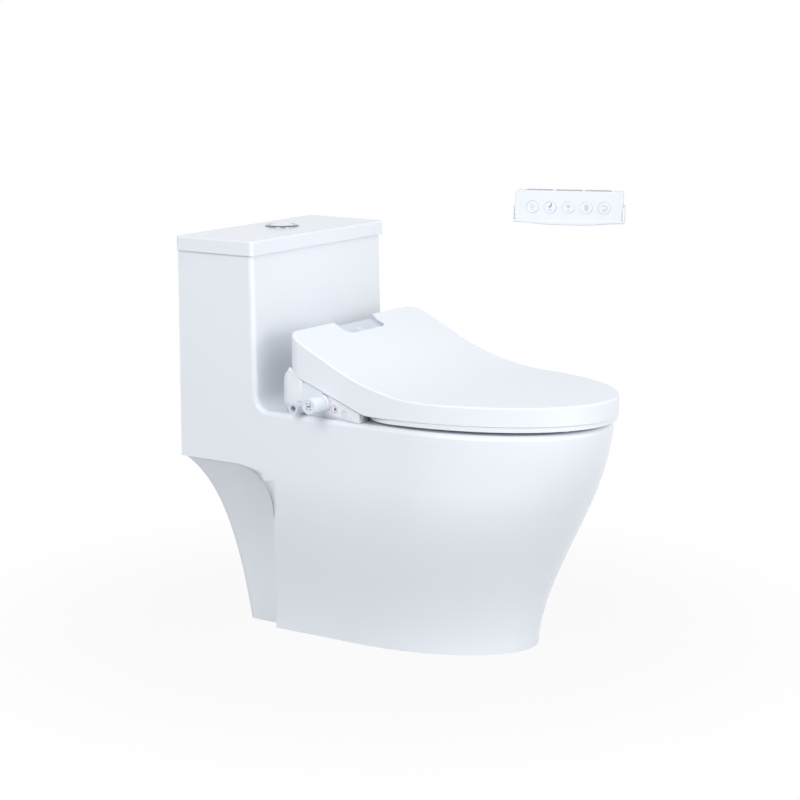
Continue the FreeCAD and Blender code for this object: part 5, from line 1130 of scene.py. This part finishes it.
@dataclass
class FiredWare(SmoothCopy):
    """The china: its foot recesses have a shallow edge that stays crisp.

    Attributes:
        fold: edges at a recess sharper than this many degrees stay sharp.
        recess_y: where the recesses start, in metres.
        recess_z: where they end, in metres.
        recess_x: how far from the middle plane they reach inwards, in metres.
    """

    node: str = "china_body"
    body: str = "toilet"
    fold: float = 7.0
    recess_y: float = 0.10
    recess_z: float = 0.23
    recess_x: float = 0.10

    def crease(self, mesh: bpy.types.Mesh) -> None:
        """Keep the edges of the foot recesses sharp where two faces meet at more than the fold.

        Args:
            mesh: the copy's mesh.
        """
        work = bmesh.new()
        work.from_mesh(mesh)
        fold = math.radians(self.fold)
        for edge in work.edges:
            middle = (edge.verts[0].co + edge.verts[1].co) / 2
            low = middle.y > self.recess_y and middle.z < self.recess_z
            near = low and abs(middle.x) > self.recess_x
            if near and len(edge.link_faces) == 2 and edge.calc_face_angle() > fold:
                edge.smooth = False
        work.to_mesh(mesh)
        work.free()


# ---------------------------------------------------------------- studio
@dataclass(frozen=True)
class Lamp:
    """A square soft lamp.

    Attributes:
        name: the lamp's name.
        place: where it stands, in metres.
        target: the point it faces.
        size: its side in metres.
        power: its power in watts.
    """

    name: str
    place: Triple
    target: Triple
    size: float
    power: float

    def build(self) -> None:
        """Put the lamp into the scene."""
        light = bpy.data.lights.new(self.name, "AREA")
        light.size = self.size
        light.energy = self.power
        item = bpy.data.objects.new(self.name, light)
        bpy.context.scene.collection.objects.link(item)
        item.location = self.place
        ray = Vector(self.target) - Vector(self.place)
        item.rotation_euler = ray.to_track_quat("-Z", "Y").to_euler()


@dataclass
class Studio:
    """Pale floor, soft lamps and the camera of the photograph.

    Attributes:
        eye: the camera's place in metres.
        yaw: the camera's turn about the upright, in radians.
        dip: how far it looks down, in radians.
        lens: focal length in millimetres on the usual 36 mm sensor.
        floor_radius: radius of the floor in metres.
        floor_colour: the floor's colour beside the object.
        shadow_reach: distances in metres between which the floor's shading fades to white.
        floor_white: share of plain white in the floor beside the object.
        even_colour: colour of the even light from all round.
        even_light: its strength.
        shine_colour: colour of what reflections see all round.
        shine_heights: heights on the sky, as shares, between which it falls off.
        shine_strengths: its strength below and above them.
        lamps: the lamps.
    """

    eye: Triple = (-3.11517, -2.09569, 1.11174)
    yaw: float = -0.98642
    dip: float = 0.190146
    lens: float = 100.67
    floor_radius: float = 30
    floor_colour: Triple = (0.38, 0.39, 0.41)
    shadow_reach: Pair = (0.35, 0.95)
    floor_white: float = 0.93
    even_colour: Triple = (0.93, 0.96, 1.0)
    even_light: float = 0.56
    shine_colour: Triple = (0.95, 0.97, 1)
    shine_heights: Pair = (0.25, 0.7)
    shine_strengths: Pair = (1.0, 0.45)
    lamps: tuple[Lamp, ...] = (
        Lamp("key", (1.0, -3.4, 2.4), (0, -0.15, 0.35), 2.6, 40),
        Lamp("top", (-0.6, -0.5, 3.4), (0, -0.1, 0.3), 3.0, 8),
        Lamp("left", (-3.8, -0.4, 2.6), (0, 0, 0.45), 2.4, 83),
        Lamp("low", (-1.2, -4.0, 1.0), (0, -0.2, 0.4), 2.0, 47),
    )

    def build(self) -> None:
        """Make the floor, the world, the lamps and the camera."""
        self.floor()
        self.world()
        for lamp in self.lamps:
            lamp.build()
        self.camera()

    def floor(self) -> None:
        """A wide disc: plain near the object, where it takes the shadow, and white further out."""
        edge = circle(96) * self.floor_radius
        points = np.column_stack([edge, np.zeros(len(edge))])
        mesh = bpy.data.meshes.new("floor")
        mesh.from_pydata(points.tolist(), [], [list(range(len(edge)))])
        item = bpy.data.objects.new("floor", mesh)
        bpy.context.scene.collection.objects.link(item)
        material = bpy.data.materials.new("floor")
        material.use_nodes = True
        tree, nodes = Shading(material.node_tree), material.node_tree.nodes
        plain = {"Base Color": (*self.floor_colour, 1), "Roughness": 0.9}
        shader = tree.fill(nodes["Principled BSDF"], {**plain, "Specular IOR Level": 0.0})
        length = tree.add("VectorMath")
        length.operation = "LENGTH"
        tree.link(tree.add("TexCoord"), "Object", length, 0)
        near, far = self.shadow_reach
        ends = {"From Min": near, "From Max": far, "To Min": self.floor_white}
        reach = tree.add("MapRange", ends)
        reach.interpolation_type = "SMOOTHSTEP"
        tree.link(length, "Value", reach, "Value")
        white = tree.add("Emission", {"Color": (1, 1, 1, 1)})
        seen = tree.mix(reach, "Result", shader, white)
        dull = tree.mix(tree.either("Is Camera Ray", "Is Glossy Ray"), "Value", shader, seen)
        tree.link(dull, "Shader", nodes["Material Output"], "Surface")
        mesh.materials.append(material)

    def world(self) -> None:
        """White behind everything that the camera and reflections see, and a dim even light."""
        world = bpy.data.worlds.new("studio")
        bpy.context.scene.world = world
        world.use_nodes = True
        tree, nodes = Shading(world.node_tree), world.node_tree.nodes
        light = {"Color": (*self.even_colour, 1), "Strength": self.even_light}
        even = tree.fill(nodes["Background"], light)
        seen = tree.add("Background", {"Color": (1, 1, 1, 1)})
        shine = tree.add("Background", {"Color": (*self.shine_colour, 1)})
        parts = tree.add("SeparateXYZ")
        tree.link(tree.add("TexCoord"), "Generated", parts, "Vector")
        ends = (*self.shine_heights, *self.shine_strengths)
        fall = tree.add("MapRange", dict(zip(("From Min", "From Max", "To Min", "To Max"), ends)))
        tree.link(parts, "Z", fall, "Value")
        tree.link(fall, "Result", shine, "Strength")
        gloss = tree.mix(tree.add("LightPath"), "Is Glossy Ray", even, shine)
        clear = tree.either("Is Camera Ray", "Is Transmission Ray")
        mix = tree.mix(clear, "Value", gloss, seen)
        tree.link(mix, "Shader", nodes["World Output"], "Surface")

    def camera(self) -> None:
        """Set up the camera that matches the photograph."""
        data = bpy.data.cameras.new("camera")
        data.lens = self.lens
        data.sensor_width = 36
        item = bpy.data.objects.new("camera", data)
        bpy.context.scene.collection.objects.link(item)
        item.location = self.eye
        item.rotation_euler = (math.pi / 2 - self.dip, 0, self.yaw)
        bpy.context.scene.camera = item


# Nodes that the pieces above stand for; all others are shown by smooth copies.
REBUILT = {
    "flush_bezel", "filter_cap", "inlet_nipple", "stop_button", "light_button", "remote_cradle",
    *(f"remote_key_{number}" for number in range(1, 6)),
    *(f"remote_top_key_{number}" for number in range(1, 4)),
}
CRISP = {"cistern_lid": 8.0}  # sharp angle in degrees where the usual one shades too softly


def main() -> None:
    """Dress the carried-over nodes, build the object's pieces and set up the studio."""
    logging.basicConfig(level=logging.INFO)
    dress_nodes()
    for body, nodes in frame["record"]["behaviour"]["bodies"].items():
        for node in nodes:
            if node == FiredWare.node:
                FiredWare().build()
            elif node not in REBUILT:
                SmoothCopy(node, body, CRISP.get(node, SmoothCopy.angle)).build()
    for part in (FlushControls(), SideControls(), PanelGlyph(), Remote()):
        part.build()
        LOG.info("%s done", type(part).__name__)
    Studio().build()
    bpy.context.scene.view_settings.view_transform = "Standard"


if __name__ == "__main__":
    main()
